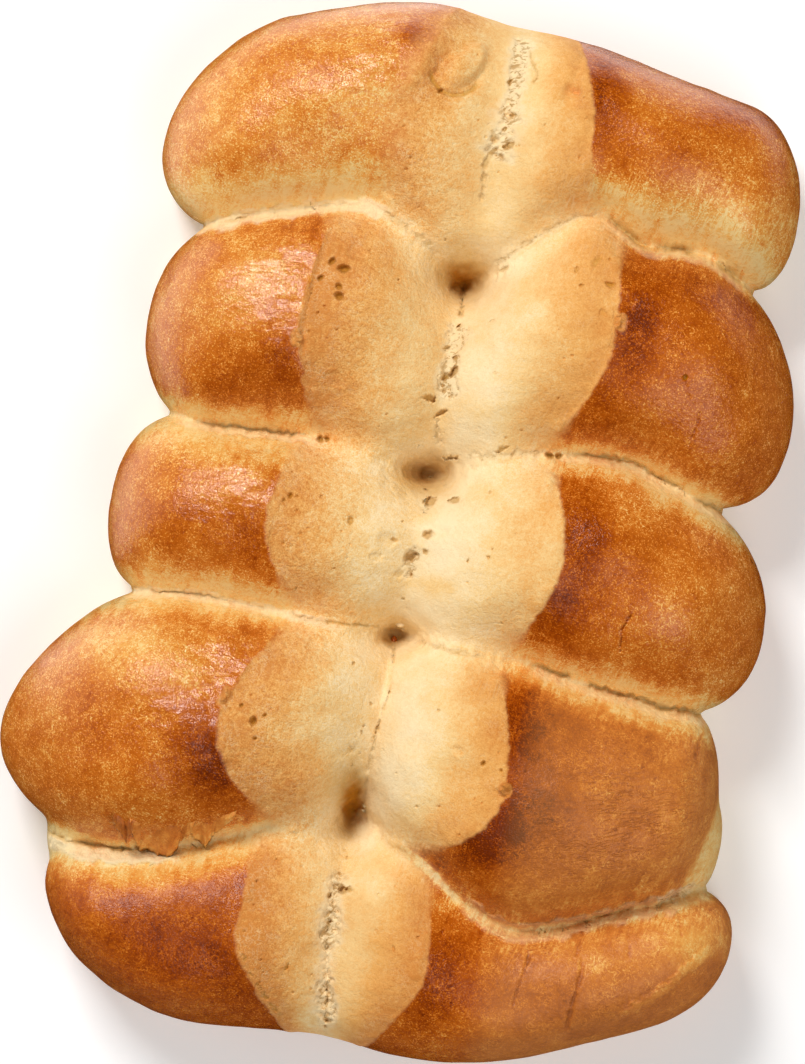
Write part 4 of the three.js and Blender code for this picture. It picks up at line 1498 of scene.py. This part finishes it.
# Thin lines: size, width, stretch, degrees of turn, and the spots that they show in
CRACKS = (2.4, 0.05, (1, 1, 1), 0.0, ((9.0, 2.0), 0.5, 0.7))
FINE_CRACKS = (1.1, 0.07, (1, 1, 1), 0.0, ((5.0, 2.0), 0.4, 0.7))
WRINKLES = (1.1, 0.09, (4.5, 1, 4.5), 18.0, ((6.0, 2.0), 0.4, 0.55))
FIBRES = (1.5, 0.09, (1, 6, 6), -14.0, ((4.0, 2.0), 0.4, 0.6))

# How the glazed crust's tone changes: paler in specks, partly pale flecks and partly painted glints (on
# glossy and on dull crust), cracks and fibres, either way with the patterns, and darker in wrinkles, spots
# and blotches (outside and inside them)
SPECK_AND_GLINT_PALER = (0.3, 0.13)
CRACK_PALER = 0.32
FIBRE_PALER = 0.3
TONE_SWING = {"flecks": 0.07, "cells": 0.06, "patches": 0.05}
WRINKLE_DARKER = 0.14
SPOT_DARKER = 0.12
BLOTCH_DARKER = (0.045, 0.075)
PAINTED_SHEEN_FROM = 0.6  # share of dullness from which a painted sheen shows
PAINTED_SHEEN_SHARE = 0.12

# How the bare faces' toast changes with the patterns, and the shares of pale lines, torn crumb and the
# painted shade of pores
MOTTLE_SWING = {"grain": 0.3, "flecks": 0.2, "cells": 0.1}
TOAST_SWING = 0.1
LINE_SHARE = 0.5
TORN_SHARE = 0.7
PORE_SHARE = 0.8

# Gloss: bare and glazed roughness, what flecks and dullness add, reflection of bright and of dimmed crust,
# how much dullness dims it, and the coat's weight on plain and on hammered glaze
ROUGHNESS = (0.85, 0.21)
FLECK_ROUGHER = 0.07
DULL_ROUGHER = 0.16
REFLECTION = (0.36, 0.18)
DULL_DIMMER = 0.6
COAT_WEIGHT = (0.05, 0.6)
COAT_ROUGHNESS = 0.12

# Bump: its height, shares of the patterns in it, its strength, and what rough skin adds to the strength
BUMP_HEIGHT = 0.4
BUMP_GRAIN = 0.6
BUMP_RIPPLES = 2.6
BUMP_WRINKLES = 0.8
BUMP_STRENGTH = 0.55
BUMP_ROUGH_SKIN = 0.45


def glaze_colour(n, looks, marks):
    """Colour of the glazed crust, with pale specks that are partly painted glints, cracks and fibres, dark
    wrinkles and spots, and a painted sheen on dull crust.
    """
    specks_and_glints = n.times(n.spots(*SPECKS_AND_GLINTS), n.span(looks["dull"], *SPECK_AND_GLINT_PALER))
    cracks = n.math("MAXIMUM", n.lines(*CRACKS), marks["fine_cracks"])
    lighter = n.plus(specks_and_glints, n.times(cracks, CRACK_PALER), n.times(marks["fibres"], FIBRE_PALER))
    wrinkles = n.times(marks["wrinkles"], WRINKLE_DARKER)
    spots = n.times(n.spots(*DARK_SPOTS), SPOT_DARKER)
    blotches = n.span(looks["blotch"], *BLOTCH_DARKER)
    darker = n.plus(n.swings(marks, TONE_SWING), wrinkles, spots, blotches)
    brown = n.ramp(n.math("SUBTRACT", n.plus(looks["tone"], darker), lighter), CRUST_TONES)
    # painted sheen on dull crust
    return n.blend(n.range(looks["dull"], PAINTED_SHEEN_FROM, 1.0, 0.0, PAINTED_SHEEN_SHARE), brown, PAINTED_SHEEN_COLOUR)


def face_colour(n, looks, marks):
    """Colour of the bare, toasted faces, with pale lines."""
    mottle = n.swings(marks, MOTTLE_SWING)
    toast = n.plus(looks["toast"], n.times(looks["grain"], mottle), n.swing(marks["patches"], TOAST_SWING))
    lines = n.math("MAXIMUM", n.times(marks["fine_cracks"], looks["grain"]), marks["fibres"])
    return n.blend(n.times(lines, LINE_SHARE), n.ramp(toast, FACE_TONES), THREAD_COLOUR)


def crumb_colour(n, looks, base):
    """The base colour with torn crumb, the painted shade of its pores, which are drawn out across the slit,
    and the painted shade of hollows.
    """
    base = n.blend(n.times(looks["torn"], TORN_SHARE), base, TORN_COLOUR)
    # painted shade of the crumb's pores, which have no relief of their own
    pores = n.math("MAXIMUM", n.spots(*SMALL_PORES), n.spots(*LARGE_PORES))
    base = n.blend(n.times(pores, looks["porous"], PORE_SHARE), base, PORE_SHADE_COLOUR)
    # painted shade in pits, gaps, creases and cavities, and along the golden seam
    return n.blend(looks["hollow_shade"], base, n.ramp(looks["hollow_shade"], HOLLOW_SHADE_TONES))


def set_gloss(n, looks, marks, shine):
    dull = looks["dull"]
    rough = n.plus(n.span(shine, *ROUGHNESS), n.swing(marks["flecks"], FLECK_ROUGHER))
    n.feed(n.shader.inputs["Roughness"], n.plus(rough, n.times(dull, shine, DULL_ROUGHER)))
    dimmed = n.math("MULTIPLY_ADD", dull, DULL_DIMMER, looks["blotch"])
    n.feed(n.shader.inputs["Specular IOR Level"], n.span(dimmed, *REFLECTION))
    glossy = n.times(shine, n.rest(dull))
    coat = n.times(glossy, n.span(looks["hammered"], *COAT_WEIGHT))
    n.feed(n.shader.inputs["Coat Weight"], coat)
    n.feed(n.shader.inputs["Coat Roughness"], COAT_ROUGHNESS)


def set_bump(n, looks, marks, shine):
    ripples = n.times(n.noise(*RIPPLES), looks["hammered"])
    raised = n.plus(n.times(marks["grain"], BUMP_GRAIN), marks["flecks"], n.times(ripples, BUMP_RIPPLES))
    height = n.math("SUBTRACT", raised, n.times(marks["wrinkles"], BUMP_WRINKLES))
    rough_skin = n.times(looks["grain"], n.rest(shine))
    bump = n.add("ShaderNodeBump")
    n.feed(bump.inputs["Strength"], n.math("MULTIPLY_ADD", rough_skin, BUMP_ROUGH_SKIN, BUMP_STRENGTH))
    n.feed(bump.inputs["Distance"], BUMP_HEIGHT * MM)
    n.feed(bump.inputs["Height"], height)
    n.feed(n.shader.inputs["Normal"], bump.outputs[0])
    n.feed(n.shader.inputs["Coat Normal"], bump.outputs[0])


def crust_material():
    n = Nodes("crust")
    looks = {key: n.share(key) for key in LOOKS}
    marks = {key: n.noise(*pattern) for key, pattern in PATTERNS.items()}
    marks["fine_cracks"] = n.lines(*FINE_CRACKS)
    marks["wrinkles"] = n.times(n.lines(*WRINKLES), looks["wrinkle"])
    marks["fibres"] = n.times(n.lines(*FIBRES), looks["fibre"])
    base = n.blend(looks["glaze"], face_colour(n, looks, marks), glaze_colour(n, looks, marks))
    n.feed(n.shader.inputs["Base Color"], crumb_colour(n, looks, base))
    shine = n.math("MULTIPLY", looks["glaze"], n.rest(looks["torn"]), clamped=True)
    set_gloss(n, looks, marks, shine)
    set_bump(n, looks, marks, shine)
    return n.material


# Stage, light and camera, in metres where nothing else is said

CAMERA_TURN = 10.0  # degrees that the loaf is turned by in the picture
PICTURE_MIDDLE = (-4.6, -0.6, 28.0)  # point of the loaf in the picture's middle, in millimetres
PICTURE_HEIGHT = 287.3  # millimetres that the picture shows there
LENS = 180.0
SENSOR = 36.0
FARTHEST = 20.0  # that the camera sees

WHITE = (1, 1, 1, 1)
FLOOR_HALF = 3.0
FLOOR_COLOUR = (0.93, 0.93, 0.92, 1)
FLOOR_ROUGHNESS = 0.9
FLOOR_GLOW = 0.15

# White sheets beside the loaf: front left and back right corners
SHEETS = {"left_sheet": ((-0.6, -0.045), (-0.11, 0.3)), "back_sheet": ((-0.11, 0.15), (0.3, 0.5))}
SHEET_HEIGHT = 0.004
SHEET_GLOW = 0.8
SHEET_HIDDEN = ("camera", "diffuse", "shadow", "transmission", "volume_scatter")

# Square soft lights that face the loaf: place, size, watts
LIGHTS = {
    "key": ((-0.75, 1.0, 1.5), 0.6, 26.0),
    "fill": ((0.8, -0.6, 1.5), 1.2, 12.0),
    "left": ((-1.5, 0.1, 0.5), 0.9, 3.0),
}
WORLD_STRENGTH = 0.2


def make_rectangle(name, low, high, z, glow):
    """A level rectangle that glows white, and its material's nodes."""
    mesh = bpy.data.meshes.new(name)
    corners = [(low[0], low[1], z), (high[0], low[1], z), (high[0], high[1], z), (low[0], high[1], z)]
    mesh.from_pydata(corners, [], [(0, 1, 2, 3)])
    n = Nodes(name)
    n.feed(n.shader.inputs["Emission Color"], WHITE)
    n.feed(n.shader.inputs["Emission Strength"], glow)
    mesh.materials.append(n.material)
    rectangle = bpy.data.objects.new(name, mesh)
    bpy.context.scene.collection.objects.link(rectangle)
    return rectangle, n


def make_floor():
    half = FLOOR_HALF
    floor, n = make_rectangle("floor", (-half, -half), (half, half), 0.0, FLOOR_GLOW)
    n.feed(n.shader.inputs["Base Color"], FLOOR_COLOUR)
    n.feed(n.shader.inputs["Roughness"], FLOOR_ROUGHNESS)
    floor.visible_glossy = False


def make_reflector(name, low, high):
    """A white sheet beside the loaf that shows only in the gloss of its crust."""
    sheet, _ = make_rectangle(name, low, high, SHEET_HEIGHT, SHEET_GLOW)
    for kind in SHEET_HIDDEN:
        setattr(sheet, "visible_" + kind, False)


def make_light(name, place, size, power):
    lamp = bpy.data.lights.new(name, "AREA")
    lamp.size = size
    lamp.energy = power
    light = bpy.data.objects.new(name, lamp)
    light.location = place
    light.rotation_euler = (-light.location).to_track_quat("-Z", "Y").to_euler()
    bpy.context.scene.collection.objects.link(light)


def make_camera(centre):
    lens = bpy.data.cameras.new("camera")
    lens.lens = LENS
    lens.sensor_width = SENSOR
    lens.sensor_fit = "AUTO"
    lens.clip_end = FARTHEST
    camera = bpy.data.objects.new("camera", lens)
    distance = PICTURE_HEIGHT * LENS / SENSOR
    camera.location = (np.array(PICTURE_MIDDLE) - centre + (0, 0, distance)) * MM
    camera.rotation_euler = (0, 0, math.radians(CAMERA_TURN))
    bpy.context.scene.collection.objects.link(camera)
    bpy.context.scene.camera = camera


def make_world():
    world = bpy.data.worlds.new("world")
    world.use_nodes = True
    background = world.node_tree.nodes["Background"]
    background.inputs["Color"].default_value = WHITE
    background.inputs["Strength"].default_value = WORLD_STRENGTH
    world.cycles_visibility.glossy = False
    bpy.context.scene.world = world


def main():
    bpy.context.scene.view_settings.view_transform = "Standard"
    smooth_points, points, faces, looks = loaf_skin()
    centre = (smooth_points.min(0) + smooth_points.max(0)) / 2 * (1, 1, 0)
    crust = crust_material()
    loaf = make_mesh("loaf_skin", (points, faces, looks), centre, crust)
    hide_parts("loaf")
    make_mesh("crust_flakes", weld(*join([flake(**row) for row in FLAKES])), centre, crust)
    make_mesh("crumbs", weld(*join([crumb(points, *row) for row in CRUMBS])), centre, crust)
    make_floor()
    for name, corners in SHEETS.items():
        make_reflector(name, *corners)
    make_world()
    for name, row in LIGHTS.items():
        make_light(name, *row)
    make_camera(centre)


main()
